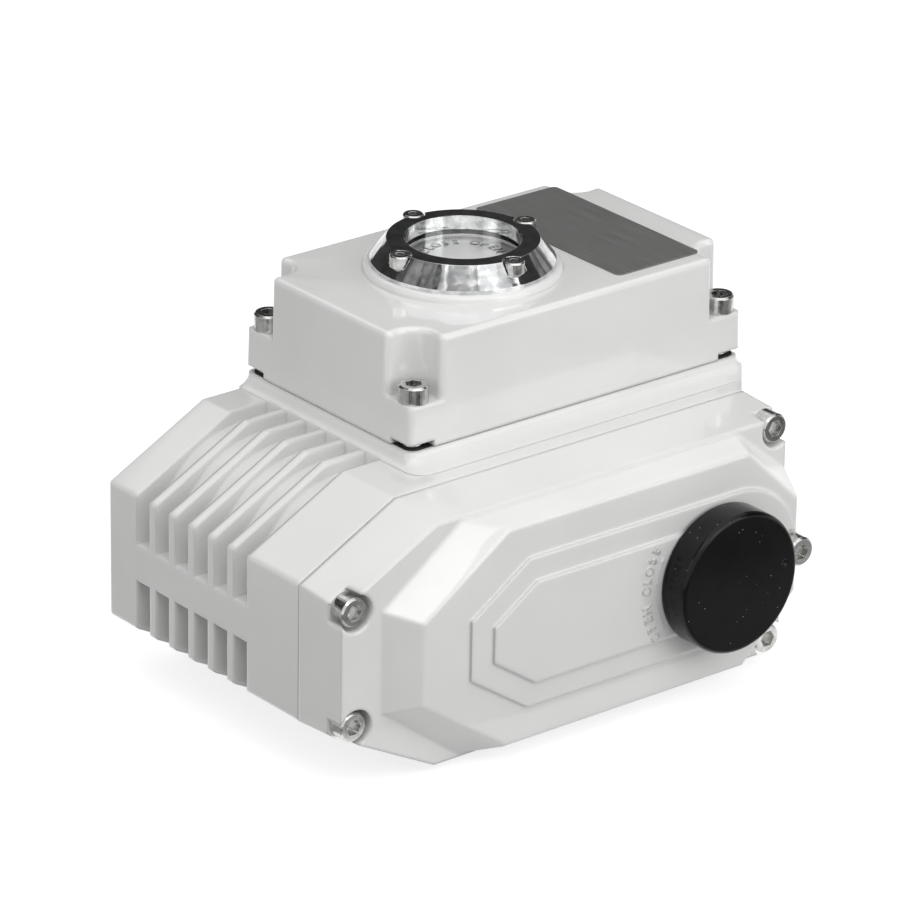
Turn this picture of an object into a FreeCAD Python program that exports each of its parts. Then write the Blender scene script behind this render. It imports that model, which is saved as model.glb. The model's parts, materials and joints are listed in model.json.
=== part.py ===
import FreeCAD, Part

import os
from math import acos, atan2, cos, pi, radians, sin, sqrt, tan

V = FreeCAD.Vector

# Electric quarter-turn valve actuator, in millimetres.
# The origin lies on the valve mounting face, on the axis of the output shaft.
# X runs to the right along the front cover, Y to the back and Z up.

# Fits between pieces
RUN = 0.05            # radial gap of a shaft in its bearing
SEAT = 0.05           # radial gap of a piece seated in its bore
SCREW_CLEAR = 0.3     # radial gap of a screw in its clearance hole

# Main casting
BODY_HALF = 43.0      # half height of the casting
PAD_PROUD = 0.9       # how far the valve pad stands below the casting
MID_Z = BODY_HALF + PAD_PROUD  # height of the motor, the worm and the cover's centre line
END_HALF = 23.5       # half height of its left end face
BODY_LEFT = -111.5
CHAMFER_X = -74.0     # where the long chamfers reach the full height
BODY_RIGHT = 83.4
BODY_BACK = 42.4
PART_Y = -58.3        # parting plane with the front cover
SHOULDER_Y = -44.0    # from here the right end narrows towards the cover
EDGE_R = 1.6          # rounding of the cast edges
WALL = 4.0            # wall of the castings

# Cooling fins at the motor end
SLOT_COUNT = 6
SLOT_PITCH = 10.36
SLOT_WIDTH = 7.2
SLOT_FIRST_Y = -28.3  # middle of the front slot
SLOT_END_X = -59.0
BAND_HALF = 6.3       # half height of the band across the fins
BULGE_WALL = 3.9      # wall round the motor

# Motor
MOTOR_X = -67.5
MOTOR_BAY_R = 35.0
BAY_BACK_Y = 27.4
STATOR_WALL = 14.4    # from the bay to the bore of the stator
STATOR_FRONT_Y = -26.0
STATOR_LENGTH = 42.0
WINDING_LENGTH = 6.0
SHIELD_RIM = 2.0      # wall of the end shield where it clamps the stator
ROTOR_GAP = 0.6
MOTOR_SHAFT_R = 4.0

# Bearings, the same size on the motor shaft and the worm shaft
BEARING_R = 11.0
BEARING_WIDTH = 7.0

# Gear train
MODULE = 1.25
PINION_TEETH = 16
GEAR_TEETH = 40
GEAR_WIDTH = 6.0
LAYER_GAP = 2.0       # gap between neighbouring gears along the shafts
BACKLASH = 0.30       # play taken from each tooth, measured along the pitch circle
GEAR_A_RISE = 6.7     # how far the first intermediate gear stands above the motor
AXLE_R = 4.0
CASE_FLOOR_Y = -46.0  # floor of the gear case in the casting
PLATE_THICK = 5.0     # gear plate

# Worm drive
WHEEL_TEETH = 40
WORM_PITCH_R = 8.5
WHEEL_WIDTH = 14.0
WORM_LENGTH = 34.0
WORM_SHAFT_R = 5.0
REAR_BEARING_Y = 24.0

# Output shaft
DRIVE_SQUARE = 17.0   # side of the square socket for the valve stem
DRIVE_DEPTH = 19.0
SHAFT_R = 15.0
COLLAR_R = 19.0
COLLAR_THICK = 4.0
WHEEL_SEAT_R = 13.0
UPPER_JOURNAL_R = 11.0
STEM_R = 8.0
TOP_STEM_R = 5.0
TOP_STEM_RISE = 27.0  # shoulder of the stem above the bearing plate
BUSH_WALL = 3.0
KEY_SIDE = 5.0

# Valve mounting, ISO 5211 F07
PAD_SIDE = 76.0
SPIGOT_R = 27.5
SPIGOT_DEPTH = 3.0
FLANGE_PCD = 70.0
FLANGE_HOLE_R = 3.4   # core hole of an M8 thread
FLANGE_HOLE_DEPTH = 14.0

# Wiring space
SPACE_DEPTH = 20.9    # floor of the wiring space below the casting's top
LEAD_HOLE_R = 4.0     # hole for the motor's leads
WHEEL_CHAMBER_R = 29.5
WHEEL_CHAMBER_DEPTH = 22.2  # floor of the chamber below the worm
SPACE_LEFT = -35.5
SPACE_RIGHT = 75.0
SPACE_HALF = 33.7     # half width of the wiring space along Y
SPACE_CORNER = 8.0
CAP_THICK = 6.0       # bearing plate over the worm wheel

# Front cover
COVER_RIGHT = 71.0
FLANGE_Y = -80.3      # front face of the cover's flange
FLANGE_DRAFT = 1.4    # how much the flange narrows from the parting plane to its front
GASKET = 0.4
DOME_Y = -89.9        # front face of the dome
BASE_HALF = BODY_HALF - 2.8
FACE_HALF = BODY_HALF - 5.3
DOME_BASE = ((-95.6, 17.5), (-64.8, BASE_HALF), (49.8, BASE_HALF), (70.7, 23.5))
DOME_FACE = ((-86.2, 14.1), (-51.6, FACE_HALF), (47.1, FACE_HALF), (69.0, 16.0))
STEP = 0.9            # height of each plateau on the dome
PLATEAU_END_X = 42.0  # middle of the round right end of the plateaus
OUTER_PLATEAU = (-67.8, 10.2, -44.6, 25.8)
INNER_PLATEAU = (-59.2, 6.0, -42.2, 17.6)

# Screws of the castings, M6 with a socket head
M6_R = 3.0
M6_HEAD_R = 5.0
M6_HEAD = 6.0
M6_HEX = 5.0
SCREW_GRIP = 12.0     # length screwed into the casting
POCKET_R = 6.4
POCKET_FLOOR_Y = -73.4
LEFT_SCREW = (-105.6, END_HALF - 3.8)
RIGHT_SCREW = (67.2, BODY_HALF - 5.4)
FACE_SCREW_X = 65.8

# Knob on the worm shaft
KNOB_R = 24.25
KNOB_BACK_Y = -92.2
KNOB_FRONT_Y = -102.9
KNOB_EDGE = 1.8
KNOB_SCREW_Y = -96.5

# Lid
LID_LEFT = -55.5
LID_RIGHT = 83.7
LID_FRONT = -43.1
LID_BACK = 43.5
LID_RISE = 4.9        # underside of the lid above the casting's top
LID_PAD_HEIGHT = 14.9
LID_HEIGHT = 36.5
LID_DRAFT = 0.7
LID_EDGE_R = 2.2      # rounding of the lid's upright edges
LID_SCREW_IN = 5.6    # lid screws from the edges of the lid
LID_POCKET_R = 7.9
LID_RECESS = 10.0
LID_RECESS_DEPTH = 2.2
RIM_PROUD = 0.2       # how far the rim stands outside the lid
RIM_CORNER = 3.5
RIM_FOOT = 8.5        # width of the hollow foot in front of the rim
FOOT_SIDE_SHARE = 0.4  # its width at the sides, as a share of that

# Window
BOSS_R = 32.5
BOSS_HEIGHT = 2.5
RING_R = 30.4
RING_LIP = 1.2
RING_TOP_R = 25.0
RING_HEIGHT = 8.1
WINDOW_R = 19.2
GLASS_R = 21.8
GLASS_THICK = 2.6
SEAL_THICK = 0.8
RING_SCREW_AT = 26.0  # radius of the ring screws
M4_R = 2.0
M4_HEAD_R = 3.5
M4_HEAD = 4.0
M4_LOW_HEAD = 2.4
M4_HEX = 3.0
RING_SCREW_PROUD = 0.2
DIAL_R = 18.6
DIAL_THICK = 1.2
DIAL_GAP = 0.6        # gap from the dial up to the glass seat

# Plate on the lid
PLATE_X = (35.6, 70.4)
PLATE_Y = (-36.2, 38.2)
LID_PLATE_THICK = 0.5

# Limit switches and cams
CAM_LOW_R = 12.4
CAM_HIGH_R = 14.0
CAM_THICK = 6.0
CAM_RISE = (5.0, 15.0)  # the cams above the bearing plate
TURN = 90.0           # how far the output shaft turns, in degrees
SWITCH_LENGTH = 20.0
SWITCH_DEPTH = 10.0
SWITCH_WIDTH = 6.4
SWITCH_GAP = 1.0      # gap from the cam's highest point to the switch body
PLUNGER_R = 1.5
PLUNGER_GAP = 0.3
BRACKET_THICK = 1.5

# Wiring parts
BOARD_THICK = 1.6
STANDOFF = 3.0
BOARD_X = (38.0, 73.0)
BOARD_HALF = 30.0
BLOCK_WIDTH = 12.0
BLOCK_HEIGHT = 14.0
BLOCK_WAYS = 8
BLOCK_PITCH = 6.5
CAPACITOR_R = 9.0
CAPACITOR_LENGTH = 42.0
CAPACITOR_X = 48.5

# Cable entries, M20, in the right end
ENTRY_RISE = 9.0      # above the floor of the wiring space
GLAND_Y = 20.0
PLUG_Y = -9.0
ENTRY_R = 9.9
GLAND_HEX = 24.0

# Sizes worked out from the ones above
BODY_TOP = MID_Z + BODY_HALF
BODY_BOTTOM = MID_Z - BODY_HALF
LID_Z = BODY_TOP + LID_RISE
LID_PAD_Z = LID_Z + LID_PAD_HEIGHT
LID_TOP = LID_Z + LID_HEIGHT
RIM_TOP = LID_Z - GASKET
RIM_RIGHT = BODY_RIGHT - RIM_PROUD
BOSS_TOP = LID_TOP + BOSS_HEIGHT
RING_TOP = BOSS_TOP + RING_HEIGHT
RING_SCREW_TOP = RING_TOP + RING_SCREW_PROUD
FLOOR_Z = BODY_TOP - SPACE_DEPTH
ENTRY_Z = FLOOR_Z + ENTRY_RISE
WHEEL_CHAMBER_Z = MID_Z - WHEEL_CHAMBER_DEPTH
COLLAR_Z = WHEEL_CHAMBER_Z + 0.3
SHAFT_END_Z = SPIGOT_DEPTH + 0.2
STATOR_BORE_R = MOTOR_BAY_R - STATOR_WALL
COVER_BACK_Y = PART_Y - GASKET
WHEEL_R = MODULE * WHEEL_TEETH / 2
WORM_X = WHEEL_R + WORM_PITCH_R
LEAD_ANGLE = atan2(MODULE, 2 * WORM_PITCH_R)
GEAR_DISTANCE = MODULE * (PINION_TEETH + GEAR_TEETH) / 2
LAYER_STEP = GEAR_WIDTH + LAYER_GAP
GEAR_PLATE_Y = CASE_FLOOR_Y - PLATE_THICK
LAYER_Y = [GEAR_PLATE_Y - 3.0 - i * LAYER_STEP for i in range(3)]
GEAR_A = (MOTOR_X + sqrt(GEAR_DISTANCE ** 2 - GEAR_A_RISE ** 2), MID_Z + GEAR_A_RISE)
SWITCH_X = CAM_HIGH_R + SWITCH_GAP
CAP_TOP = FLOOR_Z + CAP_THICK
CAM_Z = [CAP_TOP + rise for rise in CAM_RISE]
TOP_STEM_Z = CAP_TOP + TOP_STEM_RISE
BOARD_Z = FLOOR_Z + STANDOFF
DIAL_TOP = BOSS_TOP - DIAL_GAP
GLASS_Z = BOSS_TOP + SEAL_THICK


def meeting_point(first, second, reach):
    """The lower of the two points that lie at one distance from two centres."""
    dx = second[0] - first[0]
    dz = second[1] - first[1]
    span = sqrt(dx * dx + dz * dz)
    rise = sqrt(reach ** 2 - (span / 2) ** 2)
    middle = ((first[0] + second[0]) / 2, (first[1] + second[1]) / 2)
    return (middle[0] + dz / span * rise, middle[1] - dx / span * rise)


GEAR_B = meeting_point(GEAR_A, (WORM_X, MID_Z), GEAR_DISTANCE)

# Simple solids

def box(x, y, z):
    """A block between two values of each coordinate."""
    return Part.makeBox(x[1] - x[0], y[1] - y[0], z[1] - z[0], V(x[0], y[0], z[0]))


def cylinder_y(centre, radius, y0, y1):
    """A round bar along Y between y0 and y1, centred on (x, z)."""
    low, high = min(y0, y1), max(y0, y1)
    return Part.makeCylinder(radius, high - low, V(centre[0], low, centre[1]), V(0, 1, 0))


def cylinder_z(centre, radius, z0, z1):
    """A round bar along Z, centred on (x, y)."""
    return Part.makeCylinder(radius, z1 - z0, V(centre[0], centre[1], z0))


def cylinder_x(centre, radius, x0, x1):
    """A round bar along X, centred on (y, z)."""
    return Part.makeCylinder(radius, x1 - x0, V(x0, centre[0], centre[1]), V(1, 0, 0))


def join(parts):
    """One clean solid from overlapping or touching solids."""
    return parts[0].multiFuse(parts[1:]).removeSplitter()


def outline_y(points, y):
    """A closed outline of straight sides through (x, z) points at one y."""
    corners = [V(x, y, z) for x, z in points]
    return Part.makePolygon(corners + [corners[0]])


def prism_y(points, y0, y1):
    """An (x, z) outline carried along Y."""
    return Part.Face(outline_y(points, y0)).extrude(V(0, y1 - y0, 0))


def loft_y(points0, y0, points1, y1):
    """A straight-sided body between two (x, z) outlines with matching corners."""
    return Part.makeLoft([outline_y(points0, y0), outline_y(points1, y1)], True, True)


def mirrored(half_outline):
    """Corners above the centre line, then the same ones below it."""
    upper = [(x, MID_Z + h) for x, h in half_outline]
    lower = [(x, MID_Z - h) for x, h in reversed(half_outline)]
    return upper + lower


def fillet_where(shape, radius, chosen):
    """Round the edges that the test picks."""
    edges = [edge for edge in shape.Edges if chosen(edge.BoundBox, edge)]
    return shape.makeFillet(radius, edges) if edges else shape


def rounded_block(x, y, z, radius):
    """A block whose upright edges are rounded."""
    block = box(x, y, z)
    return fillet_where(block, radius, lambda b, e: b.ZLength > (z[1] - z[0]) / 2)


def ring_z(inner, outer, z0, z1, centre=(0, 0)):
    """A plain ring about an upright axis."""
    return cylinder_z(centre, outer, z0, z1).cut(cylinder_z(centre, inner, z0 - 1, z1 + 1))


def ring_y(centre, inner, outer, y0, y1):
    """A plain ring about an axis along Y."""
    low, high = min(y0, y1), max(y0, y1)
    return cylinder_y(centre, outer, low, high).cut(cylinder_y(centre, inner, low - 1, high + 1))


def turned(profile):
    """A solid of revolution about Z from (radius, z) points."""
    corners = [V(r, 0, z) for r, z in profile]
    face = Part.Face(Part.makePolygon(corners + [corners[0]]))
    return face.revolve(V(0, 0, 0), V(0, 0, 1), 360)


def turned_y(profile, centre):
    """A solid of revolution about an axis along Y from (radius, y) points."""
    corners = [V(centre[0] + r, y, centre[1]) for r, y in profile]
    face = Part.Face(Part.makePolygon(corners + [corners[0]]))
    return face.revolve(V(centre[0], 0, centre[1]), V(0, 1, 0), 360)


def hexagon(across_flats, height):
    """A hexagonal bar standing on the origin."""
    radius = across_flats / sqrt(3)
    corners = [V(radius * cos(k * pi / 3), radius * sin(k * pi / 3), 0) for k in range(6)]
    return Part.Face(Part.makePolygon(corners + [corners[0]])).extrude(V(0, 0, height))


def socket_screw(radius, head_r, head, hexagon_size, length):
    """A socket head screw: its head stands on the origin and its shank points down."""
    edge = head_r * 0.12
    body = turned([(0, -length), (radius - edge, -length), (radius, edge - length), (radius, 0),
                   (head_r, 0), (head_r, head - edge), (head_r - edge, head), (0, head)])
    recess = hexagon(hexagon_size, head * 0.6)
    recess.translate(V(0, 0, head * 0.4))
    return body.cut(recess)


def placed(shape, point, turn=None):
    """A copy of a piece, turned about an axis through the origin and then moved."""
    copy = shape.copy()
    if turn:
        copy.rotate(V(0, 0, 0), V(*turn[0]), turn[1])
    copy.translate(V(*point))
    return copy


def gear_outline(teeth, phase):
    """Involute teeth as (x, z) points about the origin, one tooth centred on the phase.

    Each flank has its root, pitch and tip point on the involute of the base circle.
    """
    pitch_r = MODULE * teeth / 2
    base_r = pitch_r * cos(radians(20))
    root_r = pitch_r - 1.25 * MODULE
    tip_r = pitch_r + MODULE

    def involute(r):
        angle = acos(min(1.0, base_r / r))
        return tan(angle) - angle

    half_tooth = pi / (2 * teeth) - BACKLASH / (2 * pitch_r)
    flank = []
    for r in (root_r, pitch_r, tip_r):
        half = half_tooth + involute(pitch_r) - involute(max(r, base_r))
        flank.append((r, half))
    points = []
    for k in range(teeth):
        middle = phase + 2 * pi * k / teeth
        side = [(r, middle - half) for r, half in flank]
        side += [(r, middle + half) for r, half in reversed(flank)]
        points += [(r * cos(a), r * sin(a)) for r, a in side]
    return points


def spur_gear(centre, teeth, phase, y_back, width):
    """A spur gear about an axis along Y; y_back is its rear face."""
    outline = [(centre[0] + x, centre[1] + z) for x, z in gear_outline(teeth, phase)]
    return prism_y(outline, y_back, y_back - width)


def direction(start, end):
    """The angle in the XZ plane from one centre to another."""
    return atan2(end[1] - start[1], end[0] - start[0])

# Main casting

def casting_outline(left_half, top_half, right):
    """Front view of the casting: a long body with two long chamfers at its left end."""
    return mirrored([(BODY_LEFT, left_half), (CHAMFER_X, top_half), (right, top_half)])


def casting_block():
    """The casting's outer form, with the right end narrowed to the cover's width."""
    block = prism_y(casting_outline(END_HALF, BODY_HALF, BODY_RIGHT), PART_Y, BODY_BACK)
    corners = [V(COVER_RIGHT, PART_Y, -1), V(BODY_RIGHT + 1, PART_Y, -1),
               V(BODY_RIGHT + 1, SHOULDER_Y, -1), V(BODY_RIGHT, SHOULDER_Y, -1)]
    wedge = Part.Face(Part.makePolygon(corners + [corners[0]])).extrude(V(0, 0, 2 * BODY_TOP))
    block = block.cut(wedge)
    along_y = lambda b, e: b.YLength > 80 and b.XLength < 0.1 and b.ZLength < 0.1
    at_back = lambda b, e: b.YMin > BODY_BACK - 0.1
    at_shoulder = lambda b, e: (b.XMin > BODY_RIGHT - 0.1 and b.ZLength > BODY_HALF
                                and b.YMax < SHOULDER_Y + 0.1)
    return fillet_where(block, EDGE_R,
                        lambda b, e: along_y(b, e) or at_back(b, e) or at_shoulder(b, e))


def rounded_outline(x, y, z, radius):
    """A level outline with rounded corners, as a wire."""
    edges = []
    middle = radius * (1 - 1 / sqrt(2))
    for k, (cx, cy, sx, sy) in enumerate(((x[0], y[0], 1, 1), (x[1], y[0], -1, 1),
                                          (x[1], y[1], -1, -1), (x[0], y[1], 1, -1))):
        upright = V(cx, cy + sy * radius, z)
        level = V(cx + sx * radius, cy, z)
        through = V(cx + sx * middle, cy + sy * middle, z)
        ends = (upright, level) if k % 2 == 0 else (level, upright)
        edges.append((ends, Part.Arc(ends[0], through, ends[1]).toShape()))
    wires = []
    for k in range(4):
        wires.append(edges[k][1])
        wires.append(Part.makeLine(edges[k][0][1], edges[(k + 1) % 4][0][0]))
    return Part.Wire(wires)


def rim_foot():
    """The hollow foot that spreads from under the rim to the casting's top.

    Its section is the outer part of a quarter of an ellipse.
    """
    height = RIM_TOP - BODY_TOP - 0.6
    sections = []
    low = radians(20)
    reach = RIM_FOOT / (1 - sin(low))
    steps = [(RIM_FOOT, -0.5)]
    for k in range(6):
        angle = low + (pi / 2 - low) * k / 5
        steps.append((reach * (1 - sin(angle)), height * (1 - cos(angle))))
    for spread, rise in steps:
        side = spread * FOOT_SIDE_SHARE
        sections.append(rounded_outline(
            (LID_LEFT - RIM_PROUD - side, RIM_RIGHT + side),
            (LID_FRONT - RIM_PROUD - spread, LID_BACK + side), BODY_TOP + rise,
            RIM_CORNER + side))
    foot = Part.makeLoft(sections, True, True)
    return foot.common(box((BODY_LEFT, BODY_RIGHT), (PART_Y, BODY_BACK),
                           (BODY_TOP - 1, RIM_TOP)))


def fin_slots():
    """The slots between the fins, which stop at the motor's round housing and at the band."""
    keep = cylinder_y((MOTOR_X, MID_Z), MOTOR_BAY_R + BULGE_WALL, PART_Y, BODY_BACK)
    shelf = box((MOTOR_X, SLOT_END_X + 5), (PART_Y, BODY_BACK),
                (MID_Z - MOTOR_BAY_R - BULGE_WALL, MID_Z + MOTOR_BAY_R + BULGE_WALL))
    band = box((BODY_LEFT - 1, MOTOR_X), (PART_Y, BODY_BACK),
               (MID_Z - BAND_HALF, MID_Z + BAND_HALF))
    slots = []
    for k in range(SLOT_COUNT):
        middle = SLOT_FIRST_Y + k * SLOT_PITCH
        slab = box((BODY_LEFT - 1, SLOT_END_X),
                   (middle - SLOT_WIDTH / 2, middle + SLOT_WIDTH / 2), (-1, BODY_TOP + 1))
        slots.append(slab.cut(keep).cut(shelf).cut(band))
    return slots


def case_outline():
    """The gear case inside the cover and the casting, clear of the screws."""
    half = BODY_HALF - 2 * WALL
    return mirrored([(-97.0, 13.0), (-66.0, half), (50.0, half), (60.3, 24.0)])


def lid_screw_places():
    """The four lid screws as (x, y)."""
    xs = (LID_LEFT + LID_SCREW_IN, LID_RIGHT - LID_SCREW_IN)
    ys = (LID_FRONT + LID_SCREW_IN, LID_BACK - LID_SCREW_IN)
    return [(x, y) for x in xs for y in ys]


def cover_screw_places():
    """The corner screws of the front cover as (x, z)."""
    return [(x, MID_Z + side * h) for x, h in (LEFT_SCREW, RIGHT_SCREW) for side in (1, -1)]


def body_casting():
    """The finned casting that carries everything."""
    body = casting_block()
    rim = rounded_block((LID_LEFT - RIM_PROUD, RIM_RIGHT),
                        (LID_FRONT - RIM_PROUD, LID_BACK),
                        (BODY_TOP - 5, RIM_TOP), RIM_CORNER)
    pad = rounded_block((-PAD_SIDE / 2, PAD_SIDE / 2), (-PAD_SIDE / 2, PAD_SIDE / 2),
                        (0, BODY_BOTTOM + 5), SPACE_CORNER)
    body = join([body, rim, rim_foot(), pad])
    space = rounded_block((SPACE_LEFT, SPACE_RIGHT), (-SPACE_HALF, SPACE_HALF),
                          (FLOOR_Z, RIM_TOP + 1), SPACE_CORNER)
    tools = fin_slots()
    tools.append(space)
    stator_back = STATOR_FRONT_Y + STATOR_LENGTH
    tools.append(cylinder_y((MOTOR_X, MID_Z), MOTOR_BAY_R, CASE_FLOOR_Y - 1, stator_back))
    tools.append(cylinder_y((MOTOR_X, MID_Z), MOTOR_BAY_R - SHIELD_RIM, CASE_FLOOR_Y, BAY_BACK_Y))
    tools.append(cylinder_x((0, FLOOR_Z + 6), LEAD_HOLE_R, MOTOR_X + 20, SPACE_LEFT + 1))
    tools.append(cylinder_y((MOTOR_X, MID_Z), BEARING_R + SEAT, BAY_BACK_Y - 1,
                            BAY_BACK_Y + BEARING_WIDTH))
    tools.append(prism_y(case_outline(), PART_Y - 1, CASE_FLOOR_Y))
    tools.append(cylinder_y((WORM_X, MID_Z), BEARING_R + SEAT, CASE_FLOOR_Y - 1,
                            REAR_BEARING_Y + BEARING_WIDTH))
    tools.append(cylinder_z((0, 0), WHEEL_CHAMBER_R, WHEEL_CHAMBER_Z, FLOOR_Z + 1))
    tools.append(cylinder_z((0, 0), SHAFT_R + BUSH_WALL + SEAT, -1, WHEEL_CHAMBER_Z + 1))
    tools.append(cylinder_z((0, 0), SPIGOT_R, -1, SPIGOT_DEPTH))
    for k in range(4):
        angle = radians(45 + 90 * k)
        place = (FLANGE_PCD / 2 * cos(angle), FLANGE_PCD / 2 * sin(angle))
        tools.append(cylinder_z(place, FLANGE_HOLE_R, -1, FLANGE_HOLE_DEPTH))
    for place in lid_screw_places():
        tools.append(cylinder_z(place, M6_R + SEAT, RIM_TOP - SCREW_GRIP - 1, RIM_TOP + 1))
    for place in cover_screw_places() + [(FACE_SCREW_X, MID_Z)]:
        tools.append(cylinder_y(place, M6_R + SEAT, PART_Y - 1, PART_Y + SCREW_GRIP + 1))
    for place in cap_screw_places():
        tools.append(cylinder_z(place, M4_R + SEAT, FLOOR_Z - 9, FLOOR_Z + 1))
    for place in gear_plate_screw_places():
        tools.append(cylinder_y(place, M4_R + SEAT, CASE_FLOOR_Y - 1, CASE_FLOOR_Y + 9))
    for y in (GLAND_Y, PLUG_Y):
        tools.append(cylinder_x((y, ENTRY_Z), ENTRY_R + SEAT, SPACE_RIGHT - 1, BODY_RIGHT + 1))
    for tool in tools:
        body = body.cut(tool)
    return body

# Front cover

def plateau_solid(shape, y0, y1, inset):
    """A stepped field on the dome: pointed at the left and round at the right."""
    left, left_half, shoulder, half = shape
    left, shoulder = left + inset, shoulder + inset * 0.5
    half, left_half = half - inset, left_half - inset * 0.4
    top = [V(left, y0, MID_Z + left_half), V(shoulder, y0, MID_Z + half),
           V(PLATEAU_END_X, y0, MID_Z + half)]
    low = [V(PLATEAU_END_X, y0, MID_Z - half), V(shoulder, y0, MID_Z - half),
           V(left, y0, MID_Z - left_half)]
    tip = V(PLATEAU_END_X + half, y0, MID_Z)
    edges = [Part.makeLine(top[0], top[1]), Part.makeLine(top[1], top[2]),
             Part.Arc(top[2], tip, low[0]).toShape(), Part.makeLine(low[0], low[1]),
             Part.makeLine(low[1], low[2]), Part.makeLine(low[2], top[0])]
    return Part.Face(Part.Wire(edges)).extrude(V(0, y1 - y0, 0))


def front_cover():
    """The stepped cover over the gear train."""
    front_half = BODY_HALF - FLANGE_DRAFT
    front_end = END_HALF - FLANGE_DRAFT
    flange = loft_y(casting_outline(END_HALF, BODY_HALF, COVER_RIGHT), COVER_BACK_Y,
                    casting_outline(front_end, front_half, COVER_RIGHT), FLANGE_Y)
    dome = loft_y(mirrored(DOME_BASE), FLANGE_Y, mirrored(DOME_FACE), DOME_Y)
    dome = fillet_where(dome, EDGE_R, lambda b, e: b.YMax < DOME_Y + 0.1)
    boss = cylinder_y((FACE_SCREW_X, MID_Z), COVER_RIGHT - FACE_SCREW_X, FLANGE_Y + 1, DOME_Y)
    outer = plateau_solid(OUTER_PLATEAU, DOME_Y + 1, DOME_Y - STEP, 0)
    inner = plateau_solid(INNER_PLATEAU, DOME_Y + 1, DOME_Y - 2 * STEP, 0)
    cover = join([flange, dome, boss, outer, inner])
    face_boss = cylinder_y((FACE_SCREW_X, MID_Z), M6_HEAD_R + 1, DOME_Y, DOME_Y - 3 * STEP)
    tools = [face_boss]
    tools.append(prism_y(case_outline(), COVER_BACK_Y + 1, FLANGE_Y + WALL))
    inside = mirrored([(x + (WALL if x < 0 else -WALL), h - WALL) for x, h in DOME_FACE])
    inside_dome = prism_y(inside, FLANGE_Y + WALL + 1, DOME_Y + WALL)
    inside_dome = inside_dome.cut(box((FACE_SCREW_X - POCKET_R, COVER_RIGHT),
                                      (DOME_Y, PART_Y), (0, BODY_TOP)))
    tools.append(inside_dome)
    tools.append(cylinder_y((WORM_X, MID_Z), WORM_SHAFT_R + BUSH_WALL + SEAT,
                            DOME_Y - 4 * STEP, FLANGE_Y))
    for place in cover_screw_places():
        tools.append(cylinder_y(place, POCKET_R, FLANGE_Y - 1, POCKET_FLOOR_Y))
        tools.append(cylinder_y(place, M6_R + SCREW_CLEAR, POCKET_FLOOR_Y - 1, COVER_BACK_Y + 1))
    tools.append(cylinder_y((FACE_SCREW_X, MID_Z), M6_R + SCREW_CLEAR, DOME_Y - 1,
                            COVER_BACK_Y + 1))
    for tool in tools:
        cover = cover.cut(tool)
    return cover


def front_gasket():
    """The flat gasket between the cover and the casting."""
    inset = 1.2
    outline = casting_outline(END_HALF - inset, BODY_HALF - inset, COVER_RIGHT - inset)
    sheet = prism_y([(max(x, BODY_LEFT + inset), z) for x, z in outline], COVER_BACK_Y, PART_Y)
    sheet = sheet.cut(prism_y(case_outline(), COVER_BACK_Y - 1, PART_Y + 1))
    for place in cover_screw_places() + [(FACE_SCREW_X, MID_Z)]:
        sheet = sheet.cut(cylinder_y(place, M6_R + SCREW_CLEAR, COVER_BACK_Y - 1, PART_Y + 1))
    return sheet


def cover_screw(x, y, z):
    """One M6 screw of the front cover with its head seated at y."""
    screw = socket_screw(M6_R, M6_HEAD_R, M6_HEAD, M6_HEX, PART_Y + SCREW_GRIP - y)
    return placed(screw, (x, y, z), ((1, 0, 0), 90))


def front_cover_screws():
    """The four corner screws of the front cover, in their pockets."""
    return Part.makeCompound(
        [cover_screw(x, POCKET_FLOOR_Y, z) for x, z in cover_screw_places()])

# Lid and window

def lid_block():
    """The lid's outer form with its four drafted walls."""
    draft = LID_DRAFT
    block = Part.makeWedge(LID_LEFT, LID_Z, -LID_BACK, draft - LID_BACK, LID_LEFT + draft,
                           LID_RIGHT, LID_TOP, -LID_FRONT, -LID_FRONT - draft,
                           LID_RIGHT - draft)
    return placed(block, (0, 0, 0), ((1, 0, 0), 90))


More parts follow.
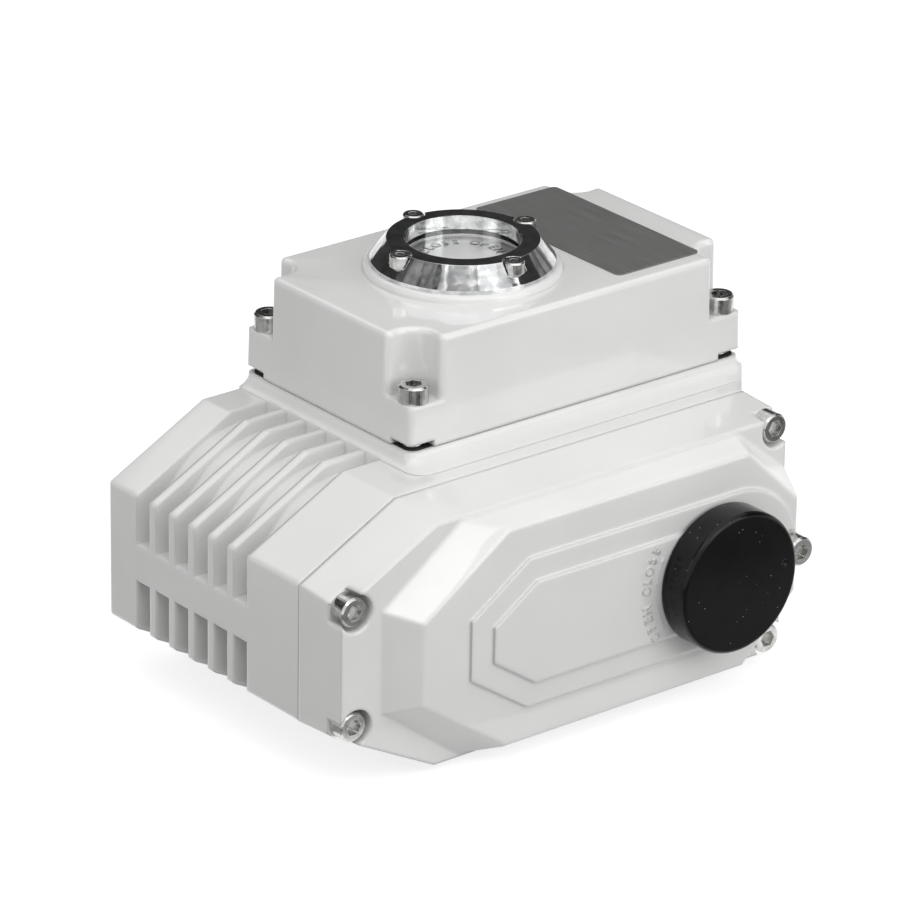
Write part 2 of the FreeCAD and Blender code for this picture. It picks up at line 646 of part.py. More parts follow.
def top_lid():
    """The lid: drafted walls, four corner pads for the screws and a boss for the window."""
    lid = lid_block()
    for x, y in lid_screw_places():
        lid = lid.cut(cylinder_z((x, y), LID_POCKET_R, LID_PAD_Z, LID_TOP + 1))
        corner = box((x - 20, x + 20), (y - 20, y + 20), (LID_PAD_Z, LID_TOP + 1))
        out_x = (LID_LEFT - 1, x) if x < 0 else (x, LID_RIGHT + 1)
        out_y = (LID_FRONT - 1, y) if y < 0 else (y, LID_BACK + 1)
        lid = lid.cut(box(out_x, out_y, (LID_PAD_Z, LID_TOP + 1)).common(corner))
    upright = lambda b, e: b.ZLength > 10 and b.ZMax > LID_PAD_Z - 1
    at_top = lambda b, e: b.ZMin > LID_TOP - 0.1
    lid = fillet_where(lid, LID_EDGE_R, upright)
    lid = fillet_where(lid, EDGE_R, at_top)
    boss = cylinder_z((0, 0), BOSS_R, LID_TOP - 2, BOSS_TOP)
    boss = fillet_where(boss, EDGE_R, lambda b, e: b.ZMin > BOSS_TOP - 0.1 and b.XLength > 1)
    lid = join([lid, boss])
    inside = box((LID_LEFT + WALL + 1, LID_RIGHT - WALL - 1),
                 (LID_FRONT + WALL + 1, LID_BACK - WALL - 1), (LID_Z - 1, LID_TOP - WALL))
    for place in lid_screw_places():
        inside = inside.cut(cylinder_z(place, LID_POCKET_R + WALL, LID_Z - 2, LID_TOP))
    lid = lid.cut(inside)
    lid = lid.cut(cylinder_z((0, 0), WINDOW_R, LID_TOP - 20, BOSS_TOP + 1))
    for k in range(4):
        angle = radians(90 * k)
        place = (RING_SCREW_AT * cos(angle), RING_SCREW_AT * sin(angle))
        lid = lid.cut(cylinder_z(place, M4_R + SEAT, LID_TOP - WALL - 1, BOSS_TOP + 1))
    for x, y in lid_screw_places():
        lid = lid.cut(cylinder_z((x, y), M6_R + SCREW_CLEAR, LID_Z - 1, LID_PAD_Z + 1))
        side_x = (LID_LEFT - 1, LID_LEFT + LID_RECESS) if x < 0 else (
            LID_RIGHT - LID_RECESS, LID_RIGHT + 1)
        side_y = (LID_FRONT - 1, LID_FRONT + LID_RECESS) if y < 0 else (
            LID_BACK - LID_RECESS, LID_BACK + 1)
        lid = lid.cut(box(side_x, side_y, (LID_Z - 1, LID_Z + LID_RECESS_DEPTH)))
    return lid


def lid_gasket():
    """The flat gasket between the lid and the rim."""
    inset = 1.2
    sheet = rounded_block((LID_LEFT + inset, LID_RIGHT - inset),
                          (LID_FRONT + inset, LID_BACK - inset), (RIM_TOP, LID_Z), RIM_CORNER)
    hole = rounded_block((SPACE_LEFT, SPACE_RIGHT), (-SPACE_HALF, SPACE_HALF),
                         (RIM_TOP - 1, LID_Z + 1), SPACE_CORNER)
    sheet = sheet.cut(hole)
    for place in lid_screw_places():
        sheet = sheet.cut(cylinder_z(place, M6_R + SCREW_CLEAR, RIM_TOP - 1, LID_Z + 1))
    return sheet


def lid_screws():
    """The four lid screws."""
    screw = socket_screw(M6_R, M6_HEAD_R, M6_HEAD, M6_HEX, LID_PAD_Z - RIM_TOP + SCREW_GRIP)
    return Part.makeCompound([placed(screw, (x, y, LID_PAD_Z)) for x, y in lid_screw_places()])


def window_ring():
    """The ring that clamps the sight glass, with a notch for each screw head."""
    counterbore = GLASS_Z + GLASS_THICK
    ring = turned([(GLASS_R + SEAT * 2, BOSS_TOP), (RING_R, BOSS_TOP),
                   (RING_R, BOSS_TOP + RING_LIP), (RING_TOP_R, RING_TOP),
                   (WINDOW_R, RING_TOP), (WINDOW_R, counterbore),
                   (GLASS_R + SEAT * 2, counterbore)])
    for k in range(4):
        angle = radians(90 * k)
        x, y = RING_SCREW_AT * cos(angle), RING_SCREW_AT * sin(angle)
        seat = RING_SCREW_TOP - M4_HEAD
        ring = ring.cut(cylinder_z((x, y), M4_HEAD_R + 0.4, seat, RING_TOP + 1))
        ring = ring.cut(cylinder_z((x, y), M4_R + 0.15, BOSS_TOP - 1, seat + 1))
        out = box((RING_SCREW_AT, RING_R + 5), (-M4_HEAD_R - 0.4, M4_HEAD_R + 0.4),
                  (seat, RING_TOP + 1))
        ring = ring.cut(placed(out, (0, 0, 0), ((0, 0, 1), 90 * k)))
    return ring


def window_ring_screws():
    """The four screws of the window ring."""
    length = RING_SCREW_TOP - M4_HEAD - (LID_TOP - WALL)
    screw = socket_screw(M4_R, M4_HEAD_R, M4_HEAD, M4_HEX, length)
    places = [(RING_SCREW_AT * cos(pi / 2 * k), RING_SCREW_AT * sin(pi / 2 * k)) for k in range(4)]
    return Part.makeCompound(
        [placed(screw, (x, y, RING_SCREW_TOP - M4_HEAD)) for x, y in places])


def sight_glass():
    """The round glass under the ring."""
    return cylinder_z((0, 0), GLASS_R, GLASS_Z, GLASS_Z + GLASS_THICK)


def window_seal():
    """The flat seal under the glass."""
    return ring_z(WINDOW_R + 0.2, GLASS_R, BOSS_TOP, GLASS_Z)


def lid_plate():
    """The thin bare plate on the lid, cut round beside the window boss."""
    plate = rounded_block(PLATE_X, PLATE_Y, (LID_TOP, LID_TOP + LID_PLATE_THICK), 2.0)
    return plate.cut(cylinder_z((0, 0), BOSS_R + 0.5, LID_TOP - 1, LID_TOP + 5))

# Output shaft and what turns with it

def output_shaft():
    """The output shaft with its square socket, worm wheel seat and stem."""
    seat_top = FLOOR_Z - 0.4
    shaft = turned([(0, SHAFT_END_Z), (SHAFT_R, SHAFT_END_Z), (SHAFT_R, COLLAR_Z),
                    (COLLAR_R, COLLAR_Z), (COLLAR_R, COLLAR_Z + COLLAR_THICK),
                    (WHEEL_SEAT_R, COLLAR_Z + COLLAR_THICK), (WHEEL_SEAT_R, seat_top),
                    (UPPER_JOURNAL_R, seat_top), (UPPER_JOURNAL_R, CAP_TOP + 1),
                    (STEM_R, CAP_TOP + 1), (STEM_R, TOP_STEM_Z), (TOP_STEM_R, TOP_STEM_Z),
                    (TOP_STEM_R, DIAL_TOP - DIAL_THICK), (0, DIAL_TOP - DIAL_THICK)])
    half = DRIVE_SQUARE / 2
    socket = box((-half, half), (-half, half), (SHAFT_END_Z - 1, SHAFT_END_Z + DRIVE_DEPTH))
    socket = fillet_where(socket, 1.0, lambda b, e: b.ZLength > 5)
    return shaft.cut(socket).cut(key_space())


def key_space():
    """The slot that the key fills in the shaft and the wheel."""
    half = KEY_SIDE / 2
    middle = WHEEL_SEAT_R
    return box((-middle - half, -middle + half), (-half, half),
               (MID_Z - WHEEL_WIDTH / 2, MID_Z + WHEEL_WIDTH / 2))


def wheel_key():
    """The key between the shaft and the worm wheel."""
    half = KEY_SIDE / 2 - SEAT
    middle = WHEEL_SEAT_R
    return box((-middle - half, -middle + half), (-half, half),
               (MID_Z - WHEEL_WIDTH / 2, MID_Z + WHEEL_WIDTH / 2))


def worm_wheel():
    """The worm wheel: helical teeth between two turned outlines, on a hub."""
    tooth_pitch = 2 * pi / WHEEL_TEETH
    low_z, high_z = MID_Z - WHEEL_WIDTH / 2, MID_Z + WHEEL_WIDTH / 2
    twist = WHEEL_WIDTH * tan(LEAD_ANGLE) / WHEEL_R
    wires = []
    for z, turn in ((low_z, -twist / 2), (high_z, twist / 2)):
        points = gear_outline(WHEEL_TEETH, tooth_pitch / 2 + turn)
        corners = [V(x, y, z) for x, y in points]
        wires.append(Part.makePolygon(corners + [corners[0]]))
    rim = Part.makeLoft(wires, True, True)
    hub = cylinder_z((0, 0), COLLAR_R, COLLAR_Z + COLLAR_THICK, FLOOR_Z - 1)
    bore = cylinder_z((0, 0), WHEEL_SEAT_R + SEAT, 0, FLOOR_Z + 10)
    return rim.fuse(hub).cut(bore).cut(key_space())


def cam_radius(index, angle):
    """The cam's radius at one angle, in degrees, of its own disc.

    Over the quarter turn the edge that faces the switch falls evenly on the first cam
    and rises evenly on the second, so that each plunger travels in step with the shaft.
    """
    turned_by = min(max(-angle, 0.0), TURN) if angle < 20 else 0.0
    share = turned_by / TURN
    if angle < -TURN - 20:
        share = 1.0 - min((-TURN - 20 - angle) / 60.0, 1.0)
    rise = CAM_HIGH_R - CAM_LOW_R
    return CAM_HIGH_R - rise * share if index == 0 else CAM_LOW_R + rise * share


def cam(index):
    """A limit switch cam with an even ramp over the quarter turn."""
    z0 = CAM_Z[index]
    corners = []
    for step in range(72):
        angle = -300.0 + 5.0 * step
        radius = cam_radius(index, angle)
        corners.append(V(radius * cos(radians(angle)), radius * sin(radians(angle)), z0))
    disc = Part.Face(Part.makePolygon(corners + [corners[0]])).extrude(V(0, 0, CAM_THICK))
    return disc.cut(cylinder_z((0, 0), STEM_R + SEAT, z0 - 1, z0 + CAM_THICK + 1))


def cam_spacer():
    """Two sleeves that hold the cams at their heights on the stem."""
    low = ring_z(STEM_R + SEAT, STEM_R + 2.5, CAP_TOP + 1, CAM_Z[0])
    middle = ring_z(STEM_R + SEAT, STEM_R + 2.5, CAM_Z[0] + CAM_THICK, CAM_Z[1])
    return Part.makeCompound([low, middle])


def indicator_dial():
    """The dial on top of the stem."""
    return cylinder_z((0, 0), DIAL_R, DIAL_TOP - DIAL_THICK, DIAL_TOP)


def dial_hub():
    """The flanged hub that carries the dial on the stem."""
    top = DIAL_TOP - DIAL_THICK
    sleeve = ring_z(TOP_STEM_R + SEAT, TOP_STEM_R + 3, top - 8, top)
    flange = ring_z(TOP_STEM_R + SEAT, DIAL_R - 5, top - 1.5, top)
    return join([sleeve, flange])

# Worm shaft and what turns with it

def worm_shaft():
    """The worm shaft: a helical thread between two journals, and a long front end."""
    rear = REAR_BEARING_Y + BEARING_WIDTH - 0.5
    front = KNOB_FRONT_Y + 3.5
    shoulder = WORM_PITCH_R - 1.25 * MODULE
    thread = WORM_LENGTH / 2
    front_bearing = CASE_FLOOR_Y + BEARING_WIDTH
    core = turned_y([(0, rear), (WORM_SHAFT_R, rear), (WORM_SHAFT_R, REAR_BEARING_Y),
                     (shoulder, REAR_BEARING_Y), (shoulder, front_bearing),
                     (WORM_SHAFT_R, front_bearing), (WORM_SHAFT_R, front), (0, front)],
                    (WORM_X, MID_Z))
    return core.fuse(worm_thread(thread))


def worm_thread(half_length):
    """One start of a right-hand thread, swept along a helix from the wheel side.

    It has an even number of turns, so that halfway along it the thread faces the wheel
    and lies in the tooth gap that starts on the X axis.
    """
    pitch = pi * MODULE
    turns = 2 * int(half_length / pitch)
    length = turns * pitch
    root = WORM_PITCH_R - 1.25 * MODULE - 0.3
    tip = WORM_PITCH_R + MODULE
    slope = tan(radians(20))
    half_pitch = pitch / 4 - BACKLASH / 2
    half_root = half_pitch + (WORM_PITCH_R - root) * slope
    half_tip = half_pitch - (tip - WORM_PITCH_R) * slope
    helix = Part.makeHelix(pitch, length, WORM_PITCH_R)
    corners = [V(root, 0, -half_root), V(tip, 0, -half_tip), V(tip, 0, half_tip),
               V(root, 0, half_root)]
    profile = Part.makePolygon(corners + [corners[0]])
    thread = Part.Wire(helix).makePipeShell([profile], True, True)
    thread.rotate(V(0, 0, 0), V(0, 0, 1), 180)
    thread.rotate(V(0, 0, 0), V(1, 0, 0), -90)
    thread.translate(V(WORM_X, -length / 2, MID_Z))
    return thread


def worm_gear():
    """The large spur gear on the worm shaft."""
    towards = direction(GEAR_B, (WORM_X, MID_Z)) + pi
    phase = towards + pi / GEAR_TEETH
    gear = spur_gear((WORM_X, MID_Z), GEAR_TEETH, phase, LAYER_Y[2], GEAR_WIDTH)
    hub = cylinder_y((WORM_X, MID_Z), WORM_SHAFT_R + 3, GEAR_PLATE_Y - 1, LAYER_Y[2])
    bore = cylinder_y((WORM_X, MID_Z), WORM_SHAFT_R + SEAT, GEAR_PLATE_Y, LAYER_Y[2] - 20)
    return gear.fuse(hub).cut(bore)


def knob():
    """The hand knob: a thick disc with a rounded edge and a small pip in its face."""
    disc = cylinder_y((WORM_X, MID_Z), KNOB_R, KNOB_BACK_Y, KNOB_FRONT_Y)
    disc = fillet_where(disc, KNOB_EDGE,
                        lambda b, e: b.YMax < KNOB_FRONT_Y + 0.1 and b.XLength > 1)
    angle = radians(7)
    reach = KNOB_R - 5.4
    dimple = Part.makeSphere(1.2, V(WORM_X + reach * cos(angle), KNOB_FRONT_Y - 0.3,
                                    MID_Z + reach * sin(angle)))
    bore = cylinder_y((WORM_X, MID_Z), WORM_SHAFT_R + SEAT, KNOB_BACK_Y + 1, KNOB_FRONT_Y + 3.4)
    screw_hole = cylinder_z((WORM_X, KNOB_SCREW_Y), M4_R + SEAT, 0, MID_Z)
    return disc.cut(dimple).cut(bore).cut(screw_hole)


def knob_set_screw():
    """The headless screw that clamps the knob on its shaft, from below."""
    low = MID_Z - KNOB_R + 6
    screw = cylinder_z((WORM_X, KNOB_SCREW_Y), M4_R, low, MID_Z - WORM_SHAFT_R)
    recess = placed(hexagon(M4_HEX - 1, 2.5), (WORM_X, KNOB_SCREW_Y, low))
    return screw.cut(recess)

# Gear train

def intermediate_gear(centre, driver, driven, layer):
    """A large gear with a pinion in front of it, on one bored hub."""
    large_phase = direction(centre, driver) + pi / GEAR_TEETH
    large = spur_gear(centre, GEAR_TEETH, large_phase, LAYER_Y[layer], GEAR_WIDTH)
    small_back = LAYER_Y[layer] - GEAR_WIDTH
    small = spur_gear(centre, PINION_TEETH, direction(centre, driven), small_back,
                      GEAR_WIDTH + LAYER_GAP)
    hub = cylinder_y(centre, AXLE_R + 3, GEAR_PLATE_Y - 1, LAYER_Y[layer])
    bore = cylinder_y(centre, AXLE_R + RUN, GEAR_PLATE_Y, small_back - 3 * GEAR_WIDTH)
    return large.fuse(small).fuse(hub).cut(bore)


def gear_axles():
    """The two fixed axles of the intermediate gears."""
    ends = (LAYER_Y[1] - GEAR_WIDTH - 2, LAYER_Y[2] - GEAR_WIDTH - 2)
    axles = [cylinder_y(centre, AXLE_R, CASE_FLOOR_Y, end)
             for centre, end in zip((GEAR_A, GEAR_B), ends)]
    return Part.makeCompound(axles)


def shield_screw_places():
    """The screws through the gear plate into the motor's end shield as (x, z)."""
    reach = (BEARING_R + STATOR_BORE_R) / 2 + 4
    return [(MOTOR_X + reach * cos(pi / 4 + pi / 2 * k), MID_Z + reach * sin(pi / 4 + pi / 2 * k))
            for k in range(4)]


def gear_plate_screw_places():
    """The screws through the gear plate into the casting as (x, z)."""
    return [(x, MID_Z + side * (BODY_HALF - 16.0)) for x in (-28.0, 52.0) for side in (1, -1)]


def gear_plate():
    """The flat plate over the motor bay and the worm tunnel that carries the axles."""
    half = BODY_HALF - 2 * WALL - 2.0
    outline = mirrored([(-94.0, 12.0), (-66.0, half), (49.0, half), (58.5, 23.0)])
    plate = prism_y(outline, CASE_FLOOR_Y, GEAR_PLATE_Y)
    holes = [((MOTOR_X, MID_Z), MOTOR_SHAFT_R + 2), ((WORM_X, MID_Z), WORM_SHAFT_R + 2),
             (GEAR_A, AXLE_R + SEAT), (GEAR_B, AXLE_R + SEAT)]
    holes += [(place, M4_R + SCREW_CLEAR)
              for place in gear_plate_screw_places() + shield_screw_places()]
    for place, radius in holes:
        plate = plate.cut(cylinder_y(place, radius, GEAR_PLATE_Y - 1, CASE_FLOOR_Y + 1))
    return plate


def motor_end_shield():
    """The motor's front end shield: it holds the bearing and its rim clamps the stator."""
    outer = MOTOR_BAY_R - SEAT
    seat_back = CASE_FLOOR_Y + BEARING_WIDTH
    web_back = CASE_FLOOR_Y + 5.0
    shield = turned_y([(BEARING_R + SEAT, CASE_FLOOR_Y), (outer, CASE_FLOOR_Y),
                       (outer, STATOR_FRONT_Y), (outer - SHIELD_RIM, STATOR_FRONT_Y),
                       (outer - SHIELD_RIM, web_back), (BEARING_R + 3, web_back),
                       (BEARING_R + 3, seat_back), (BEARING_R + SEAT, seat_back)],
                      (MOTOR_X, MID_Z))
    for place in shield_screw_places():
        shield = shield.cut(cylinder_y(place, M4_R + SEAT, CASE_FLOOR_Y - 1, web_back + 1))
    return shield


def plate_screws(places, depth):
    """Low head screws through the gear plate, reaching a given depth behind it."""
    screw = socket_screw(M4_R, M4_HEAD_R, M4_LOW_HEAD, M4_HEX, PLATE_THICK + depth)
    return Part.makeCompound(
        [placed(screw, (x, GEAR_PLATE_Y, z), ((1, 0, 0), 90)) for x, z in places])

# Motor

def motor_shaft():
    """The motor shaft."""
    return cylinder_y((MOTOR_X, MID_Z), MOTOR_SHAFT_R, LAYER_Y[0] - GEAR_WIDTH - 1,
                      BAY_BACK_Y + BEARING_WIDTH - 0.5)


def motor_rotor():
    """The magnet rotor on the motor shaft."""
    back = STATOR_FRONT_Y + STATOR_LENGTH - 2
    return ring_y((MOTOR_X, MID_Z), MOTOR_SHAFT_R + SEAT, STATOR_BORE_R - ROTOR_GAP,
                  STATOR_FRONT_Y + 2, back)


def motor_pinion():
    """The pinion on the motor shaft."""
    centre = (MOTOR_X, MID_Z)
    pinion = spur_gear(centre, PINION_TEETH, direction(centre, GEAR_A), LAYER_Y[0], GEAR_WIDTH)
    return pinion.cut(cylinder_y(centre, MOTOR_SHAFT_R + SEAT, LAYER_Y[0] + 1,
                                 LAYER_Y[0] - GEAR_WIDTH - 1))


def motor_stator():
    """The stator: a laminated ring with poles towards the rotor."""
    back = STATOR_FRONT_Y + STATOR_LENGTH
    centre = (MOTOR_X, MID_Z)
    ring = ring_y(centre, STATOR_BORE_R, MOTOR_BAY_R - SEAT, STATOR_FRONT_Y, back)
    slot_r = (STATOR_BORE_R + MOTOR_BAY_R) / 2
    slots = []
    for k in range(12):
        angle = 2 * pi * k / 12
        place = (centre[0] + slot_r * cos(angle), centre[1] + slot_r * sin(angle))
        slots.append(cylinder_y(place, 2.6, STATOR_FRONT_Y - 1, back + 1))
    return ring.cut(Part.makeCompound(slots))


def motor_windings():
    """The end turns of the windings, one ring at each end of the stator."""
    centre = (MOTOR_X, MID_Z)
    inner = STATOR_BORE_R + 2.5
    outer = MOTOR_BAY_R - SHIELD_RIM - 0.9
    back = STATOR_FRONT_Y + STATOR_LENGTH
    rings = []
    for start, way in ((STATOR_FRONT_Y, -1), (back, 1)):
        end = start + way * WINDING_LENGTH
        bevel = start + way * (WINDING_LENGTH - 2)
        rings.append(turned_y([(inner, start), (outer, start), (outer, bevel), (outer - 2, end),
                               (inner + 2, end), (inner, bevel)], centre))
    return Part.makeCompound(rings)

# Bearings and bushes

def bearing(centre, inner, y_front):
    """A shielded ball bearing as one closed ring, with a groove in each face."""
    back = y_front + BEARING_WIDTH
    ring = ring_y(centre, inner, BEARING_R, y_front, back)
    mean = (inner + BEARING_R) / 2
    for y0, y1 in ((y_front - 1, y_front + 0.4), (back - 0.4, back + 1)):
        ring = ring.cut(ring_y(centre, mean - 1.8, mean + 1.8, y0, y1))
    return ring


def cap_screw_places():
    """The screws of the bearing plate as (x, y)."""
    return [(x, y) for x in (-28.0, 28.0) for y in (-28.0, 28.0)]


def bearing_plate():
    """The plate over the worm wheel, with the upper bush of the output shaft."""
    half = 32.5
    plate = rounded_block((-half, half), (-half, half), (FLOOR_Z, CAP_TOP), 5.0)
    plate = plate.cut(cylinder_z((0, 0), UPPER_JOURNAL_R + BUSH_WALL + SEAT, FLOOR_Z - 1,
                                 CAP_TOP + 1))
    for place in cap_screw_places():
        plate = plate.cut(cylinder_z(place, M4_R + SCREW_CLEAR, FLOOR_Z - 1, CAP_TOP + 1))
    return plate


def bearing_plate_screws():
    """The screws of the bearing plate."""
    screw = socket_screw(M4_R, M4_HEAD_R, M4_HEAD, M4_HEX, CAP_THICK + 8)
    return Part.makeCompound([placed(screw, (x, y, CAP_TOP)) for x, y in cap_screw_places()])

# Limit switches

def switch_body(index):
    """A limit switch on its side with three terminal tags."""
    z = CAM_Z[index] + CAM_THICK / 2
    case = box((SWITCH_X, SWITCH_X + SWITCH_DEPTH), (-SWITCH_LENGTH / 2, SWITCH_LENGTH / 2),
               (z - SWITCH_WIDTH / 2, z + SWITCH_WIDTH / 2))
    case = fillet_where(case, 0.6, lambda b, e: b.ZLength > 5)
    case = case.cut(cylinder_x((0, z), PLUNGER_R + PLUNGER_GAP, SWITCH_X - 1, SWITCH_X + 7))
    tags = [box((SWITCH_X + SWITCH_DEPTH - 0.5, SWITCH_X + SWITCH_DEPTH + 5),
                (y - 1.5, y + 1.5), (z - 0.4, z + 0.4)) for y in (-7, 0, 7)]
    return join([case] + tags)


def switch_plunger(index):
    """The plunger of a limit switch: the first is pressed in by its cam, the second is free."""
    z = CAM_Z[index] + CAM_THICK / 2
    tip = (CAM_HIGH_R, CAM_LOW_R)[index] + PLUNGER_GAP
    rod = turned([(0, 0), (PLUNGER_R - 0.5, 0), (PLUNGER_R, 0.5), (PLUNGER_R, 5.5), (0, 5.5)])
    return placed(rod, (tip, 0, z), ((0, 1, 0), 90))


def switch_bracket():
    """The bent bracket behind the two switches, standing on the bearing plate."""
    x0 = SWITCH_X + SWITCH_DEPTH
    top = CAM_Z[1] + CAM_THICK + 3
    wall = box((x0, x0 + BRACKET_THICK), (-SWITCH_LENGTH / 2 - 2, SWITCH_LENGTH / 2 + 2),
               (CAP_TOP, top))
    foot = box((x0 - 4, x0 + BRACKET_THICK), (-SWITCH_LENGTH / 2 - 2, SWITCH_LENGTH / 2 + 2),
               (CAP_TOP, CAP_TOP + BRACKET_THICK))
    bracket = join([wall, foot])
    for index in (0, 1):
        z = CAM_Z[index] + CAM_THICK / 2
        for y in (-7, 0, 7):
            bracket = bracket.cut(box((x0 - 1, x0 + 3), (y - 2, y + 2), (z - 1, z + 1)))
    return bracket

# Wiring parts

def circuit_board():
    """The board that carries the terminals."""
    board = rounded_block(BOARD_X, (-BOARD_HALF, BOARD_HALF), (BOARD_Z, BOARD_Z + BOARD_THICK), 2)
    for x, y in board_screw_places():
        board = board.cut(cylinder_z((x, y), 1.6, BOARD_Z - 1, BOARD_Z + 3))
    return board


def board_screw_places():
    """The corners where the board is held."""
    return [(x, y) for x in (BOARD_X[0] + 3.5, BOARD_X[1] - 3.5)
            for y in (-BOARD_HALF + 3.5, BOARD_HALF - 3.5)]


def board_standoffs():
    """The short pillars under the board."""
    return Part.makeCompound(
        [ring_z(1.6, 3.0, FLOOR_Z, BOARD_Z, place) for place in board_screw_places()])


def terminal_block():
    """A row of screw terminals: a stepped bar with a well and a wire entry for each way."""
    length = BLOCK_WAYS * BLOCK_PITCH
    z0 = BOARD_Z + BOARD_THICK
    x1 = BOARD_X[1] - 1
    x0 = x1 - BLOCK_WIDTH
    bar = box((x0, x1), (-length / 2, length / 2), (z0, z0 + BLOCK_HEIGHT * 0.6))
    top = box((x0, x1 - BLOCK_WIDTH * 0.35), (-length / 2, length / 2),
              (z0, z0 + BLOCK_HEIGHT))
    block = join([bar, top])
    for k in range(BLOCK_WAYS):
        y = -length / 2 + (k + 0.5) * BLOCK_PITCH
        block = block.cut(cylinder_z((x0 + 3.6, y), 2.2, z0 + 4, z0 + BLOCK_HEIGHT + 1))
        block = block.cut(box((x1 - 4, x1 + 1), (y - 1.8, y + 1.8), (z0 + 2, z0 + 6)))
    return block


def terminal_screws():
    """The clamp screws of the terminals."""
    length = BLOCK_WAYS * BLOCK_PITCH
    z0 = BOARD_Z + BOARD_THICK
    x0 = BOARD_X[1] - 1 - BLOCK_WIDTH
    screws = []
    for k in range(BLOCK_WAYS):
        y = -length / 2 + (k + 0.5) * BLOCK_PITCH
        screw = cylinder_z((x0 + 3.6, y), 1.9, z0 + 4, z0 + BLOCK_HEIGHT - 2)
        slot = box((x0 + 1, x0 + 6), (y - 0.3, y + 0.3),
                   (z0 + BLOCK_HEIGHT - 3, z0 + BLOCK_HEIGHT))
        screws.append(screw.cut(slot))
    return Part.makeCompound(screws)


def capacitor():
    """The motor's run capacitor, lying on the board."""
    z = BOARD_Z + BOARD_THICK + CAPACITOR_R
    end = CAPACITOR_LENGTH / 2
    return turned_y([(0, -end), (CAPACITOR_R - 1, -end), (CAPACITOR_R, 1 - end),
                     (CAPACITOR_R, end - 1), (CAPACITOR_R - 1, end), (0, end)],
                    (CAPACITOR_X, z))

# Cable entries

def cable_gland():
    """The gland body: a threaded end through the wall and a hexagon outside it."""
    place = (GLAND_Y, ENTRY_Z)
    spigot = cylinder_x(place, ENTRY_R, SPACE_RIGHT, BODY_RIGHT + 1)
    hexagon_bar = placed(hexagon(GLAND_HEX, 6), (BODY_RIGHT + 1, GLAND_Y, ENTRY_Z),
                         ((0, 1, 0), 90))
    neck = cylinder_x(place, ENTRY_R - 0.6, BODY_RIGHT + 6, BODY_RIGHT + 14)
    bore = cylinder_x(place, 6.0, SPACE_RIGHT - 1, BODY_RIGHT + 20)
    return join([spigot, hexagon_bar, neck]).cut(bore)


def gland_nut():
    """The domed cap nut of the gland."""
    place = (GLAND_Y, ENTRY_Z)
    nut = placed(hexagon(GLAND_HEX - 1, 11), (BODY_RIGHT + 7.5, GLAND_Y, ENTRY_Z),
                 ((0, 1, 0), 90))
    dome = Part.makeCone(11.3, 8.0, 5, V(BODY_RIGHT + 18.5, GLAND_Y, ENTRY_Z), V(1, 0, 0))
    nut = join([nut, dome])
    nut = nut.cut(cylinder_x(place, ENTRY_R - 0.6 + SEAT, BODY_RIGHT + 7, BODY_RIGHT + 14.5))
    return nut.cut(cylinder_x(place, 6.0, BODY_RIGHT + 7, BODY_RIGHT + 30))


def gland_washer():
    """The sealing washers under the gland and the plug."""
    rings = []
    for y in (GLAND_Y, PLUG_Y):
        outer = cylinder_x((y, ENTRY_Z), ENTRY_R + 1.6, BODY_RIGHT, BODY_RIGHT + 1)
        rings.append(outer.cut(cylinder_x((y, ENTRY_Z), ENTRY_R + SEAT, BODY_RIGHT - 1,
                                          BODY_RIGHT + 2)))
    return Part.makeCompound(rings)


def blanking_plug():
    """The plug in the unused cable entry."""
    place = (PLUG_Y, ENTRY_Z)
    spigot = cylinder_x(place, ENTRY_R, SPACE_RIGHT, BODY_RIGHT + 1)
    head = placed(hexagon(GLAND_HEX, 4), (BODY_RIGHT + 1, PLUG_Y, ENTRY_Z), ((0, 1, 0), 90))
    return join([spigot, head])


